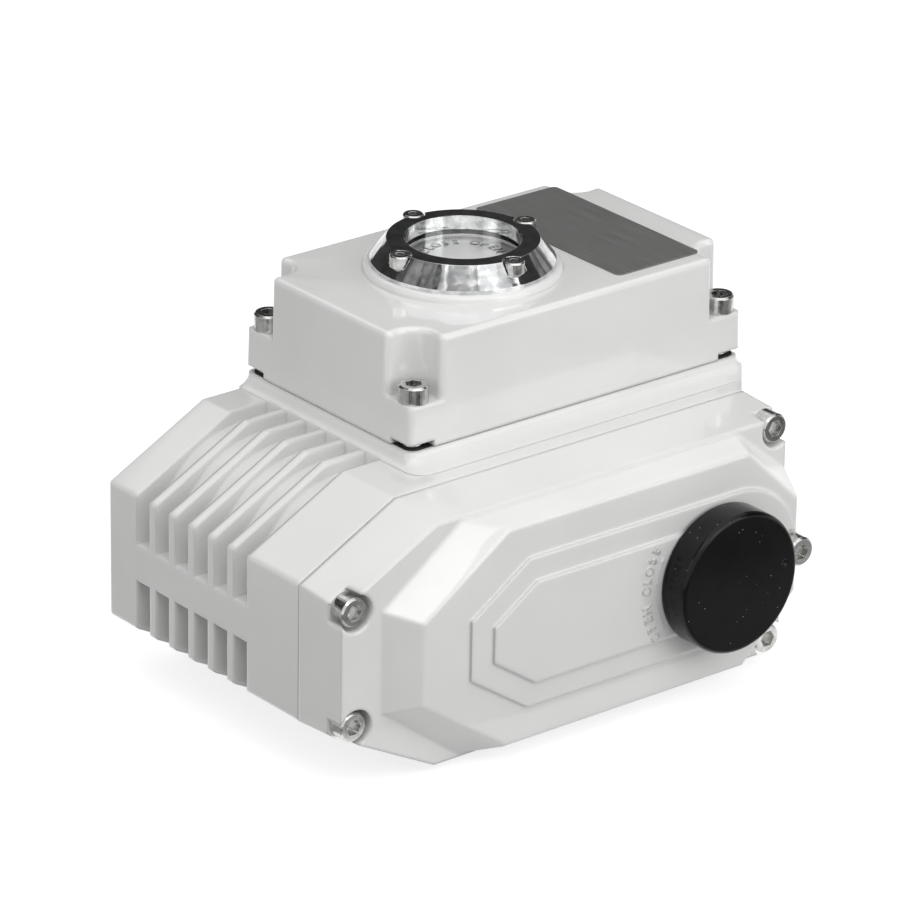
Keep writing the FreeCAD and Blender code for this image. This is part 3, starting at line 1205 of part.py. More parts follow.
def pieces():
    """Every node of the actuator by name."""
    worm = (WORM_X, MID_Z)
    motor = (MOTOR_X, MID_Z)
    seal_z = SPIGOT_DEPTH + 0.5
    return {
        "body_casting": body_casting(),
        "front_cover": front_cover(),
        "front_gasket": front_gasket(),
        "front_cover_screws": front_cover_screws(),
        "front_cover_long_screw": cover_screw(FACE_SCREW_X, DOME_Y, MID_Z),
        "top_lid": top_lid(),
        "lid_gasket": lid_gasket(),
        "lid_screws": lid_screws(),
        "lid_plate": lid_plate(),
        "window_ring": window_ring(),
        "window_ring_screws": window_ring_screws(),
        "sight_glass": sight_glass(),
        "window_seal": window_seal(),
        "output_lower_bush": ring_z(SHAFT_R + RUN, SHAFT_R + BUSH_WALL, seal_z, COLLAR_Z - 0.3),
        "output_upper_bush": ring_z(UPPER_JOURNAL_R + RUN, UPPER_JOURNAL_R + BUSH_WALL,
                                    FLOOR_Z, CAP_TOP),
        "bearing_plate": bearing_plate(),
        "bearing_plate_screws": bearing_plate_screws(),
        "worm_rear_bearing": bearing(worm, WORM_SHAFT_R + RUN, REAR_BEARING_Y),
        "worm_front_bearing": bearing(worm, WORM_SHAFT_R + RUN, CASE_FLOOR_Y),
        "worm_cover_bush": ring_y(worm, WORM_SHAFT_R + RUN, WORM_SHAFT_R + BUSH_WALL,
                                  DOME_Y - 2 * STEP, DOME_Y + WALL),
        "motor_stator": motor_stator(),
        "motor_windings": motor_windings(),
        "motor_rear_bearing": bearing(motor, MOTOR_SHAFT_R + RUN, BAY_BACK_Y),
        "motor_front_bearing": bearing(motor, MOTOR_SHAFT_R + RUN, CASE_FLOOR_Y),
        "motor_end_shield": motor_end_shield(),
        "gear_plate": gear_plate(),
        "gear_plate_screws": plate_screws(gear_plate_screw_places(), 8.0),
        "end_shield_screws": plate_screws(shield_screw_places(), 5.0),
        "gear_axles": gear_axles(),
        "closed_limit_switch": switch_body(0),
        "open_limit_switch": switch_body(1),
        "switch_bracket": switch_bracket(),
        "circuit_board": circuit_board(),
        "board_standoffs": board_standoffs(),
        "terminal_block": terminal_block(),
        "terminal_screws": terminal_screws(),
        "run_capacitor": capacitor(),
        "cable_gland": cable_gland(),
        "gland_nut": gland_nut(),
        "entry_washers": gland_washer(),
        "blanking_plug": blanking_plug(),
        "output_shaft": output_shaft(),
        "worm_wheel": worm_wheel(),
        "wheel_key": wheel_key(),
        "closed_cam": cam(0),
        "open_cam": cam(1),
        "cam_spacers": cam_spacer(),
        "dial_hub": dial_hub(),
        "indicator_dial": indicator_dial(),
        "worm_shaft": worm_shaft(),
        "worm_gear": worm_gear(),
        "hand_knob": knob(),
        "knob_set_screw": knob_set_screw(),
        "first_intermediate_gear": intermediate_gear(GEAR_A, motor, GEAR_B, 0),
        "second_intermediate_gear": intermediate_gear(GEAR_B, GEAR_A, worm, 1),
        "motor_shaft": motor_shaft(),
        "motor_rotor": motor_rotor(),
        "motor_pinion": motor_pinion(),
        "closed_switch_plunger": switch_plunger(0),
        "open_switch_plunger": switch_plunger(1),
    }


os.makedirs("parts", exist_ok=True)
for name, shape in pieces().items():
    shape.exportStep("parts/" + name + ".step")
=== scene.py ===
import json
from math import cos, pi, radians, sin

import bpy
import numpy as np
from mathutils import Matrix, Vector


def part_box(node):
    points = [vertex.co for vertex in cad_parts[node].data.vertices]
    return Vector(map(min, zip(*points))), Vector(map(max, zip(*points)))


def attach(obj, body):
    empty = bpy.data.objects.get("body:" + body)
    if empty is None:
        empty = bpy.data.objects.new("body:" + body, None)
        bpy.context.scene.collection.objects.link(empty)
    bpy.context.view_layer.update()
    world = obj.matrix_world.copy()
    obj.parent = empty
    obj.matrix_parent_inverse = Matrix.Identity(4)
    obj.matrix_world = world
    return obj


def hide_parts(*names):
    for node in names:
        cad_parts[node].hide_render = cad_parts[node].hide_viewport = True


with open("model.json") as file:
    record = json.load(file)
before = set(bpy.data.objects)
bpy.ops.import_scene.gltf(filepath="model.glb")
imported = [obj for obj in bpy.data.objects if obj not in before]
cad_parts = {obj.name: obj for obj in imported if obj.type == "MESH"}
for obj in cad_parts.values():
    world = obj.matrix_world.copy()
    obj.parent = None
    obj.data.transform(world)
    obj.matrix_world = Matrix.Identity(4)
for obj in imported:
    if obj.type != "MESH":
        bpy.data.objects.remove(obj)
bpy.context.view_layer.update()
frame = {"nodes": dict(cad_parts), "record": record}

# An electric rotary valve actuator, dressed round its CAD model: finishes for every node, the
# pieces that the solids leave out, and the stage with its light and camera.

MM = 0.001
NODES = frame["nodes"]


def span(node):
    """The lowest and the highest corner of a CAD node, in millimetres."""
    low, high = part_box(node)
    return np.array(low) / MM, np.array(high) / MM


# Places that the pieces below take from the frame, in millimetres
KNOB_LOW, KNOB_HIGH = span("hand_knob")
KNOB_X, _, MID_Z = (KNOB_LOW + KNOB_HIGH) / 2
FIELD_Y = span("front_cover")[0][1]           # front face of the cover's innermost field
DIAL_TOP_Z = span("indicator_dial")[1][2]
RIM_TOP_Z = span("lid_gasket")[0][2]          # top of the casting's rim, under the lid
SCREW_LOW, SCREW_HIGH = span("lid_screws")
SCREW_HEAD_R = 5.0
LID_SCREWS = [(x, y) for x in (SCREW_LOW[0] + SCREW_HEAD_R, SCREW_HIGH[0] - SCREW_HEAD_R)
              for y in (SCREW_LOW[1] + SCREW_HEAD_R, SCREW_HIGH[1] - SCREW_HEAD_R)]


def linear(hex_colour):
    """Turns an sRGB hex colour into linear red, green and blue with a full alpha.

    It is the standard curve: a power of 2.4, with a straight run in the darkest tones.
    """
    values = [int(hex_colour[i:i + 2], 16) / 255 for i in (1, 3, 5)]
    return [v / 12.92 if v <= 0.04045 else ((v + 0.055) / 1.055) ** 2.4 for v in values] + [1.0]


def add(tree, kind, links=None, **settings):
    """Adds a node: links maps an input to another node's output or to a plain value."""
    node = tree.nodes.new(kind)
    for name, value in settings.items():
        setattr(node, name, value)
    for name, value in (links or {}).items():
        if isinstance(value, bpy.types.NodeSocket):
            tree.links.new(value, node.inputs[name])
        else:
            node.inputs[name].default_value = value
    return node


def new_material(name, **sockets):
    """A material with one Principled shader whose even values are set on its own sockets."""
    material = bpy.data.materials.new(name)
    material.use_nodes = True
    tree = material.node_tree
    shader = tree.nodes["Principled BSDF"]
    for key, value in sockets.items():
        shader.inputs[key.replace("_", " ")].default_value = value
    place = add(tree, "ShaderNodeTexCoord").outputs["Object"]
    return material, tree, shader, place


def graded(tree, pattern, low, high, start=0.3, end=0.7):
    """Goes from one colour or number to another as a pattern's value rises from start to end."""
    in_colour = isinstance(low, str)
    ends = {} if in_colour else {"To Min": low, "To Max": high}
    share = add(tree, "ShaderNodeMapRange",
                {"Value": pattern, "From Min": start, "From Max": end, **ends})
    if not in_colour:
        return share.outputs["Result"]
    mixed = add(tree, "ShaderNodeMixRGB", {"Fac": share.outputs["Result"], "Color1": linear(low),
                                           "Color2": linear(high)})
    return mixed.outputs["Color"]


def patches(tree, place, size_mm, detail=3.0, stretch=(1.0, 1.0, 1.0)):
    """Soft random patches of a real size, drawn out along an axis where its stretch is small."""
    drawn = add(tree, "ShaderNodeMapping", {"Vector": place, "Scale": stretch})
    cloud = add(tree, "ShaderNodeTexNoise",
                {"Vector": drawn.outputs["Vector"], "Scale": 1 / (size_mm * MM), "Detail": detail})
    return cloud.outputs["Fac"]


def specks(tree, place, apart_mm, width_mm):
    """One round speck in each cell of a random cell pattern, as a value of one on zero.

    Distances are in shares of a cell, and a speck fades out over the outer half of its radius.
    """
    cells = add(tree, "ShaderNodeTexVoronoi", {"Vector": place, "Scale": 1 / (apart_mm * MM)})
    radius = width_mm / apart_mm / 2
    return graded(tree, cells.outputs["Distance"], 1.0, 0.0, start=radius / 2, end=radius)


def relief(tree, shader, height, depth_mm, strength, edge_mm=0.0):
    """Raises a pattern from the surface, over edges rounded where an edge size is given."""
    links = {"Height": height, "Distance": depth_mm * MM, "Strength": strength}
    if edge_mm:
        rounded = add(tree, "ShaderNodeBevel", {"Radius": edge_mm * MM}, samples=6)
        links["Normal"] = rounded.outputs["Normal"]
    raised = add(tree, "ShaderNodeBump", links)
    tree.links.new(raised.outputs["Normal"], shader.inputs["Normal"])


def powder_coat():
    """Light grey polyester powder coat on die-cast aluminium.

    It gives a smooth gloss over a faint orange peel, soft edges where the coat has flowed round
    them, a painted highlight as a lighter line along those edges, and a few specks of dust. The
    real peel is finer; its waves are drawn 4 mm wide, because narrower ones turn to grain in the
    render.
    """
    tone_mm, dull_mm, peel_mm, peel_deep_mm, flow_mm = 30, 5, 4, 0.02, 1.9
    material, tree, shader, place = new_material(
        "powder_coated_casting", IOR=1.5, Coat_Weight=0.8, Coat_Roughness=0.06)
    tone = graded(tree, patches(tree, place, tone_mm), "#D8D8D7", "#DDDDDC")
    dust = specks(tree, place, apart_mm=26, width_mm=0.5)
    specked = add(tree, "ShaderNodeMixRGB",
                  {"Fac": dust, "Color1": tone, "Color2": linear("#9B9B98")})
    rounded = add(tree, "ShaderNodeBevel", {"Radius": flow_mm * MM}, samples=8)
    true_face = add(tree, "ShaderNodeNewGeometry").outputs["Normal"]
    bent = add(tree, "ShaderNodeVectorMath", {0: rounded.outputs["Normal"], 1: true_face},
               operation="DOT_PRODUCT")
    # Painted highlight: the base colour is lightened towards #E8E8E7 along edges, where the rounded
    # normal turns away from the face
    edge = graded(tree, bent.outputs["Value"], 0.35, 0.0, start=0.8, end=0.97)
    painted_edge_highlight = add(tree, "ShaderNodeMixRGB", {"Fac": edge, "Color1": specked.outputs["Color"],
                                             "Color2": linear("#E8E8E7")})
    tree.links.new(painted_edge_highlight.outputs["Color"], shader.inputs["Base Color"])
    dull = graded(tree, patches(tree, place, dull_mm, detail=1.0), 0.28, 0.31)
    tree.links.new(dull, shader.inputs["Roughness"])
    peel = patches(tree, place, peel_mm, detail=1.0)
    waves = add(tree, "ShaderNodeBump", {"Height": peel, "Distance": peel_deep_mm * MM,
                                         "Strength": 0.2, "Normal": rounded.outputs["Normal"]})
    tree.links.new(waves.outputs["Normal"], shader.inputs["Normal"])
    tree.links.new(rounded.outputs["Normal"], shader.inputs["Coat Normal"])
    return material


def turned_metal(name, dark, light, roughness):
    """A turned or ground metal: tool lines 1.5 mm long and 0.25 mm apart, and darker patches."""
    material, tree, shader, place = new_material(name, Metallic=1.0)
    lines = patches(tree, place, size_mm=1.5, detail=4.0, stretch=(1.0, 1.0, 6.0))
    tone = graded(tree, patches(tree, place, 4), dark, light)
    tree.links.new(tone, shader.inputs["Base Color"])
    dull = graded(tree, lines, roughness * 0.8, roughness * 1.25)
    tree.links.new(dull, shader.inputs["Roughness"])
    relief(tree, shader, lines, depth_mm=0.01, strength=0.4, edge_mm=0.2)
    return material


def knurled_screw(name, along):
    """Stainless socket head screw: a ground top, and a head knurled with ridges along its axis.

    The axis is given by its number. The ridges stand 0.5 mm apart, only on faces along the axis.
    """
    material, tree, shader, place = new_material(name, Metallic=1.0)
    drawn_out = [0.02 if axis == along else 1.0 for axis in range(3)]
    ridges = patches(tree, place, size_mm=0.5, detail=1.0, stretch=drawn_out)
    face = add(tree, "ShaderNodeSeparateXYZ",
               {"Vector": add(tree, "ShaderNodeNewGeometry").outputs["Normal"]}).outputs[along]
    end = add(tree, "ShaderNodeMath", {0: face, 1: face}, operation="MULTIPLY")
    side = add(tree, "ShaderNodeMath", {0: 1.0, 1: end.outputs[0]}, operation="SUBTRACT")
    height = add(tree, "ShaderNodeMath", {0: ridges, 1: side.outputs[0]}, operation="MULTIPLY")
    wear = patches(tree, place, 3)
    tree.links.new(graded(tree, wear, "#B8B8B6", "#E2E2E0"), shader.inputs["Base Color"])
    tree.links.new(graded(tree, wear, 0.12, 0.24), shader.inputs["Roughness"])
    relief(tree, shader, height.outputs[0], depth_mm=0.12, strength=0.6, edge_mm=0.25)
    return material


def brushed_sheet(name, dark, light, smooth, rough):
    """Aluminium sheet brushed along Y: straight hair lines, each with its own tone and gloss.

    Real brush lines are finer; they are drawn 0.35 mm apart, so that they show in the render.
    """
    material, tree, shader, place = new_material(name, Metallic=1.0)
    hair = patches(tree, place, size_mm=0.35, stretch=(1.0, 0.015, 1.0))
    tree.links.new(graded(tree, hair, dark, light), shader.inputs["Base Color"])
    tree.links.new(graded(tree, hair, smooth, rough), shader.inputs["Roughness"])
    relief(tree, shader, hair, depth_mm=0.01, strength=0.5)
    return material


def chrome_plate():
    """Bright chrome plate on polished brass.

    It is a mirror with shallow waves 5 mm wide, and hazy patches 4 mm wide where it was touched.
    """
    material, tree, shader, place = new_material("chrome_plated_brass", Metallic=1.0)
    haze = patches(tree, place, size_mm=4, detail=4.0)
    tone = graded(tree, haze, "#C6C7C8", "#EEEEEF", start=0.4, end=0.66)
    tree.links.new(tone, shader.inputs["Base Color"])
    dull = graded(tree, haze, 0.12, 0.05, start=0.4, end=0.66)
    tree.links.new(dull, shader.inputs["Roughness"])
    waves = patches(tree, place, size_mm=5, detail=1.0)
    relief(tree, shader, waves, depth_mm=0.15, strength=0.7, edge_mm=0.25)
    return material


def polished_phenolic():
    """Black phenolic, moulded and polished.

    It gives a gloss with a rounded rim, faint flow waves 6 mm wide and pale grains of dust. The
    gloss is kept weak, so that the face stays as black as the real one.
    """
    material, tree, shader, place = new_material("polished_black_phenolic", IOR=1.5,
                                                 Specular_IOR_Level=0.24)
    tone = graded(tree, patches(tree, place, 9), "#0A0A0B", "#101011")
    dust = specks(tree, place, apart_mm=3.2, width_mm=0.45)
    dusty = add(tree, "ShaderNodeMixRGB",
                {"Fac": dust, "Color1": tone, "Color2": linear("#8C8C8A")})
    tree.links.new(dusty.outputs["Color"], shader.inputs["Base Color"])
    tree.links.new(graded(tree, patches(tree, place, 3), 0.13, 0.2), shader.inputs["Roughness"])
    waves = patches(tree, place, size_mm=6, detail=1.0)
    relief(tree, shader, waves, depth_mm=0.03, strength=0.3, edge_mm=0.9)
    return material


def moulded_plastic(name, dark, light, roughness):
    """Moulded plastic or rubber: an even gloss over a grain of 0.6 mm, with faint patches."""
    material, tree, shader, place = new_material(name, IOR=1.5)
    grain = patches(tree, place, size_mm=0.6, detail=2.0)
    tone = graded(tree, patches(tree, place, 9), dark, light)
    tree.links.new(tone, shader.inputs["Base Color"])
    dull = graded(tree, grain, roughness * 0.85, roughness * 1.2)
    tree.links.new(dull, shader.inputs["Roughness"])
    relief(tree, shader, grain, depth_mm=0.02, strength=0.35, edge_mm=0.3)
    return material


def banded_metal(name, dark, light, pitch_mm, roughness):
    """Metal in even bands along Y, such as stacked sheets or wound wire.

    The bands of a wave pattern stand 0.31 m apart at a scale of one.
    """
    material, tree, shader, place = new_material(name, Metallic=1.0)
    bands = add(tree, "ShaderNodeTexWave", {"Vector": place, "Scale": 0.31 / (pitch_mm * MM)},
                wave_type="BANDS", bands_direction="Y").outputs["Fac"]
    tone = graded(tree, bands, dark, light, start=0.2, end=0.8)
    tree.links.new(tone, shader.inputs["Base Color"])
    dull = graded(tree, bands, roughness * 1.3, roughness * 0.8)
    tree.links.new(dull, shader.inputs["Roughness"])
    relief(tree, shader, bands, depth_mm=0.1, strength=0.6)
    return material


def window_glass():
    """Clear float glass with faint smears 8 mm wide, which dull it a little."""
    material, tree, shader, place = new_material("float_glass", IOR=1.46, Transmission_Weight=1.0)
    smear = patches(tree, place, 8)
    tree.links.new(graded(tree, smear, "#FAFBFB", "#FEFEFE"), shader.inputs["Base Color"])
    tree.links.new(graded(tree, smear, 0.0, 0.03), shader.inputs["Roughness"])
    return material


FINISHES = {
    "cast": powder_coat(),
    "chrome": chrome_plate(),
    "plate": brushed_sheet("brushed_aluminium_sheet", "#7F7F7E", "#949493", smooth=0.5, rough=0.62),
    "dial": brushed_sheet("satin_anodised_dial", "#EEEEED", "#FAFAF9", smooth=0.38, rough=0.52),
    "lid_screw": knurled_screw("stainless_upright_screws", along=2),
    "cover_screw": knurled_screw("stainless_cover_screws", along=1),
    "glass": window_glass(),
    "screw": turned_metal("stainless_screws", "#A8A7A4", "#C9C8C5", 0.28),
    "steel": turned_metal("ground_gear_steel", "#7C7D80", "#9FA0A3", 0.32),
    "bronze": turned_metal("cast_bronze", "#A8814A", "#C39A5E", 0.36),
    "aluminium": turned_metal("milled_aluminium", "#B4B5B6", "#D0D0D1", 0.38),
    "nickel": turned_metal("nickel_plated_brass", "#B5B1A8", "#CFCBC2", 0.24),
    "lamination": banded_metal("stacked_laminations", "#4C4D50", "#77787B", pitch_mm=0.5,
                               roughness=0.45),
    "wire": banded_metal("enamelled_winding_wire", "#7A3A1C", "#B86A38", pitch_mm=0.6,
                         roughness=0.35),
    "knob": polished_phenolic(),
    "rubber": moulded_plastic("nitrile_rubber", "#141414", "#202020", 0.7),
    "magnet": moulded_plastic("bonded_ferrite", "#262628", "#343436", 0.55),
    "black": moulded_plastic("black_nylon", "#1A1A1A", "#252525", 0.45),
    "red": moulded_plastic("red_nylon", "#9C1C16", "#B32A20", 0.4),
    "board": moulded_plastic("glass_fibre_board", "#0E4A28", "#176236", 0.35),
    "grey": moulded_plastic("grey_polyamide", "#8C8E90", "#A0A2A4", 0.45),
}
# The finish of each material slot of the record
SLOT_FINISH = {
    "cast_paint": "cast", "knob_black": "knob", "ring_chrome": "chrome", "stainless": "screw",
    "gear_steel": "steel", "bronze": "bronze", "seal_rubber": "rubber", "clear_glass": "glass",
    "brushed_plate": "plate", "bare_aluminium": "aluminium", "lamination": "lamination",
    "copper_wire": "wire", "magnet": "magnet", "black_plastic": "black", "red_plastic": "red",
    "green_board": "board", "grey_plastic": "grey", "nickel_brass": "nickel",
}


def smoothing_group(limit_degrees):
    """Shades a mesh smooth, except over edges sharper than the limit.

    The normals that the CAD mesh brings along are taken off first.
    """
    group = bpy.data.node_groups.new("smooth_below_limit", "GeometryNodeTree")
    group.interface.new_socket("Geometry", in_out="INPUT", socket_type="NodeSocketGeometry")
    group.interface.new_socket("Geometry", in_out="OUTPUT", socket_type="NodeSocketGeometry")
    start = add(group, "NodeGroupInput")
    plain = add(group, "GeometryNodeRemoveAttribute",
                {"Geometry": start.outputs["Geometry"], "Name": "custom_normal"})
    faces = add(group, "GeometryNodeSetShadeSmooth",
                {"Geometry": plain.outputs["Geometry"], "Shade Smooth": True}, domain="FACE")
    angle = add(group, "GeometryNodeInputMeshEdgeAngle")
    below = add(group, "FunctionNodeCompare",
                {0: angle.outputs["Unsigned Angle"], 1: radians(limit_degrees)},
                data_type="FLOAT", operation="LESS_THAN")
    edges = add(group, "GeometryNodeSetShadeSmooth",
                {"Geometry": faces.outputs["Geometry"], "Shade Smooth": below.outputs["Result"]},
                domain="EDGE")
    add(group, "NodeGroupOutput", {"Geometry": edges.outputs["Geometry"]})
    return group


SMOOTHING = smoothing_group(limit_degrees=28)
WELD_MM = 0.004      # corners nearer than this become one point


def soften(piece):
    """Joins the loose triangles of a piece and shades its curved faces smooth."""
    weld = piece.modifiers.new("join_corners", "WELD")
    weld.merge_threshold = WELD_MM * MM
    smooth = piece.modifiers.new("shade_curves", "NODES")
    smooth.node_group = SMOOTHING


def paint(piece, finish):
    """Gives the whole piece one finish."""
    piece.data.materials.clear()
    piece.data.materials.append(FINISHES[finish])


# Nodes with a finish of their own, not the one of their material slot
NODE_FINISH = {
    "lid_screws": "lid_screw", "window_ring_screws": "lid_screw", "indicator_dial": "dial",
    "front_cover_screws": "cover_screw", "front_cover_long_screw": "cover_screw",
}
for part in frame["record"]["subparts"]:
    node = NODES[part["node"]]
    paint(node, NODE_FINISH.get(part["node"], SLOT_FINISH[part["material_slot"]]))
    soften(node)


def new_object(name, points, faces):
    """A new object in the scene, from points in metres."""
    mesh = bpy.data.meshes.new(name)
    mesh.from_pydata(np.asarray(points, float).tolist(), [], np.asarray(faces).tolist())
    mesh.validate()
    made = bpy.data.objects.new(name, mesh)
    bpy.context.scene.collection.objects.link(made)
    return made


def make_piece(name, points, faces, finish, body, replaced=()):
    """A new smooth piece from points in millimetres, riding on a body."""
    piece = new_object(name, np.asarray(points, float) * MM, faces)
    piece.data.polygons.foreach_set("use_smooth", np.ones(len(piece.data.polygons), bool))
    paint(piece, finish)
    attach(piece, body)
    if replaced:
        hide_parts(*replaced)
    return piece


def grid_faces(rows, columns, joined=False):
    """The four-sided faces of a grid of points, whose last column may join the first."""
    row, column = (a.ravel() for a in np.meshgrid(
        np.arange(rows - 1), np.arange(columns if joined else columns - 1), indexing="ij"))
    beside = (column + 1) % columns
    here, above = row * columns, (row + 1) * columns
    return np.stack([here + column, here + beside, above + beside, above + column], 1)


LETTER_HIGH = 3.6        # in millimetres
FONT_SIZE = 1.38         # the font's size, in letter heights
LETTER_NARROWED = 0.86   # a letter's width, as a share of the font's own
OUTLINE = 0.12           # half the width of an outline, in millimetres


def word(name, text, radius, start, end, centre, finish, body, thick=0.0):
    """A word on an arc, each letter turned so that its top points away from the centre.

    The letters stand evenly between two angles. Each is a font curve made into a mesh. On the
    cover, which looks towards -Y, the letters are filled, thickened and stood upright. On the
    level dial thick is zero, and a letter is only its outline, as a thin raised line. Its points
    go through one matrix: turned on the arc, stood upright or not, and moved to the centre.
    """
    points, triangles, base = [], [], 0
    upright = Matrix.Rotation(radians(90), 4, "X") if thick else Matrix.Identity(4)
    for letter, angle in zip(text, np.linspace(start, end, len(text))):
        curve = bpy.data.curves.new(name, "FONT")
        curve.body, curve.size, curve.align_x = letter, LETTER_HIGH * FONT_SIZE, "CENTER"
        curve.fill_mode = "BOTH" if thick else "NONE"
        curve.extrude = thick / 2
        curve.bevel_depth = thick / 4 if thick else OUTLINE
        curve.bevel_resolution = 1
        shape = bpy.data.objects.new(name, curve)
        mesh = bpy.data.meshes.new_from_object(shape)
        mesh.calc_loop_triangles()
        corners = np.empty(3 * len(mesh.vertices))
        mesh.vertices.foreach_get("co", corners)
        sides = np.empty(3 * len(mesh.loop_triangles), int)
        mesh.loop_triangles.foreach_get("vertices", sides)
        turn = radians(angle)
        place = (Matrix.Translation(centre) @ upright
                 @ Matrix.Translation((radius * cos(turn), radius * sin(turn), 0))
                 @ Matrix.Rotation(turn - pi / 2, 4, "Z")
                 @ Matrix.Translation((0, -LETTER_HIGH / 2, 0))
                 @ Matrix.Diagonal((LETTER_NARROWED, 1, 1, 1)))
        matrix = np.array(place)
        points.append(corners.reshape(-1, 3) @ matrix[:3, :3].T + matrix[:3, 3])
        triangles.append(sides.reshape(-1, 3) + base)
        base += len(mesh.vertices)
        bpy.data.objects.remove(shape)
    soften(make_piece(name, np.concatenate(points), np.concatenate(triangles), finish, body))


SHOULDER = (83.4, -44.0)       # x and y where the casting's right end starts to narrow
COVER_CORNER = (71.0, -58.3)   # x and y where it meets the cover


def trimmed_casting():
    """The main casting, with its rim's foot cut off level with the narrowed right end.

    In front of the shoulder each point's x is held to the line from the shoulder to the
    cover's corner, so that what stood out past it lies in the narrowed face.
    """
    mesh = NODES["body_casting"].data
    points = np.empty(3 * len(mesh.vertices))
    mesh.vertices.foreach_get("co", points)
    points = points.reshape(-1, 3) / MM
    corners = np.empty(3 * len(mesh.polygons), int)
    mesh.polygons.foreach_get("vertices", corners)
    line = np.interp(points[:, 1], (COVER_CORNER[1], SHOULDER[1]), (COVER_CORNER[0], SHOULDER[0]))
    in_front = points[:, 1] < SHOULDER[1]
    points[in_front, 0] = np.minimum(points[:, 0], line)[in_front]
    soften(make_piece("trimmed_casting", points, corners.reshape(-1, 3), "cast", "housing",
                      ("body_casting",)))


trimmed_casting()

# Raised words on the cover, beside the knob, and outlined words on the dial
FIELD = (KNOB_X, FIELD_Y, MID_Z)
DIAL = (0, 0, DIAL_TOP_Z)
COVER_WORD_R, DIAL_WORD_R = 30.6, 13.4     # radius of the arc that the letters stand on
RAISED = 0.45
for name, text, start, end in (("open_word", "OPEN", 211, 190),
                               ("close_word", "CLOSE", 177, 151)):
    word(name, text, COVER_WORD_R, start, end, FIELD, "cast", "housing", RAISED)
for name, text, start, end in (("dial_open_word", "OPEN", 34, -12),
                               ("dial_close_word", "CLOSE", 124, 62)):
    word(name, text, DIAL_WORD_R, start, end, DIAL, "black", "output")


def scale_marks(name, radius, start, end, count, mark_r, high):
    """A row of small round printed marks along the dial's edge.

    Each mark is a low cap: its height falls with the square of the distance from its middle.
    """
    turn = np.linspace(0, 2 * pi, 12, endpoint=False)[None, :]
    out = np.array([0.001, 0.5, 0.85, 1.0])[:, None]      # from nearly the middle to the edge
    cap = grid_faces(out.size, turn.size, joined=True)[:, ::-1]
    points, faces = [], []
    for k, angle in enumerate(np.radians(np.linspace(start, end, count))):
        x = radius * cos(angle) + mark_r * out * np.cos(turn)
        y = radius * sin(angle) + mark_r * out * np.sin(turn)
        z = DIAL_TOP_Z + high * (1 - out ** 2) + 0 * turn
        points.append(np.stack([x, y, z], -1).reshape(-1, 3))
        faces.append(cap + out.size * turn.size * k)
    make_piece(name, np.concatenate(points), np.concatenate(faces), "black", "output")


scale_marks("dial_scale_marks", radius=17.9, start=24, end=80, count=17, mark_r=0.34, high=0.08)

ARROW_R, ARROW_WIDE, ARROW_HIGH = 26.2, 0.7, 0.35
ARROW_HEAD = 0.22      # the head's share of the way
HEAD_WIDE = 3.0        # its width, in widths of the shaft


def curved_arrow(name, start, end):
    """A raised arrow on the cover, curved round the knob from one angle to another.

    The cross-section is a low arch, as high as the root of one less the square of the share
    of the way across. Over the head the width starts at three times and falls to nothing.
    """
    way = np.linspace(0, 1, 40)[:, None]
    across = np.linspace(-1, 1, 7)[None, :]
    angle = np.radians(start + (end - start) * way)
    widening = np.where(way > 1 - ARROW_HEAD, HEAD_WIDE * (1 - way) / ARROW_HEAD, 1.0)
    r = ARROW_R + across * ARROW_WIDE / 2 * widening
    x = FIELD[0] + r * np.cos(angle)
    y = FIELD[1] - ARROW_HIGH * np.sqrt(1 - across ** 2) + 0 * way
    z = FIELD[2] + r * np.sin(angle)
    outwards = 1 if end > start else -1
    faces = grid_faces(way.size, across.size)[:, ::outwards]
    make_piece(name, np.stack([x, y, z], -1).reshape(-1, 3), faces, "cast", "housing")


curved_arrow("close_arrow", 174, 153)
curved_arrow("open_arrow", 190, 211)

THREAD_R, THREAD_LONG, THREAD_PITCH = 3.25, 2.8, 1.0
THREAD_DEEP = 0.6      # the groove's depth, in pitches


def screw_thread(name, centre, low):
    """A screw thread about an upright axis.

    The radius at a point is the outer radius less a triangle wave of its height minus its
    share of a turn, so that the ridge climbs one pitch in each turn.
    """
    rows, columns = 6 * int(THREAD_LONG / THREAD_PITCH) + 1, 48     # six rows to a turn
    z = np.linspace(low, low + THREAD_LONG, rows)[:, None]
    angle = np.linspace(0, 2 * pi, columns, endpoint=False)[None, :]
    phase = (z / THREAD_PITCH - angle / (2 * pi)) % 1.0
    r = THREAD_R - THREAD_DEEP * THREAD_PITCH * np.abs(2 * phase - 1)
    x, y = centre[0] + r * np.cos(angle), centre[1] + r * np.sin(angle)
    make_piece(name, np.stack([x, y, z + 0 * angle], -1).reshape(-1, 3),
               grid_faces(rows, columns, joined=True), "screw", "housing")


for number, place in enumerate(LID_SCREWS):
    screw_thread("lid_screw_thread_%d" % (number + 1), place, RIM_TOP_Z)

# Stage, light and camera. Places and sizes are in metres from here on.

DOME = 0.7             # strength of the soft light from all round
FLOOR_GLOW = 0.76      # what lifts the lit floor to white
# Each lamp's name, place, size and watts
LAMPS = (("overhead", (-0.1, -0.2, 1.3), (1.4, 1.2), 2.8),
         ("front", (0.5, -1.3, 0.7), (1.0, 1.0), 7.3),
         ("upper_left", (-0.55, -0.85, 1.3), (0.7, 0.7), 4.4),
         ("left", (-1.3, 0.1, 0.8), (0.7, 0.7), 1.5))


def seen_rays(tree):
    """One for rays from the camera, from a gloss and through glass, else zero."""
    rays = add(tree, "ShaderNodeLightPath")
    gloss = add(tree, "ShaderNodeMath",
                {0: rays.outputs["Is Camera Ray"], 1: rays.outputs["Is Glossy Ray"]},
                operation="MAXIMUM")
    every = add(tree, "ShaderNodeMath",
                {0: gloss.outputs[0], 1: rays.outputs["Is Transmission Ray"]}, operation="MAXIMUM")
    return every.outputs[0]


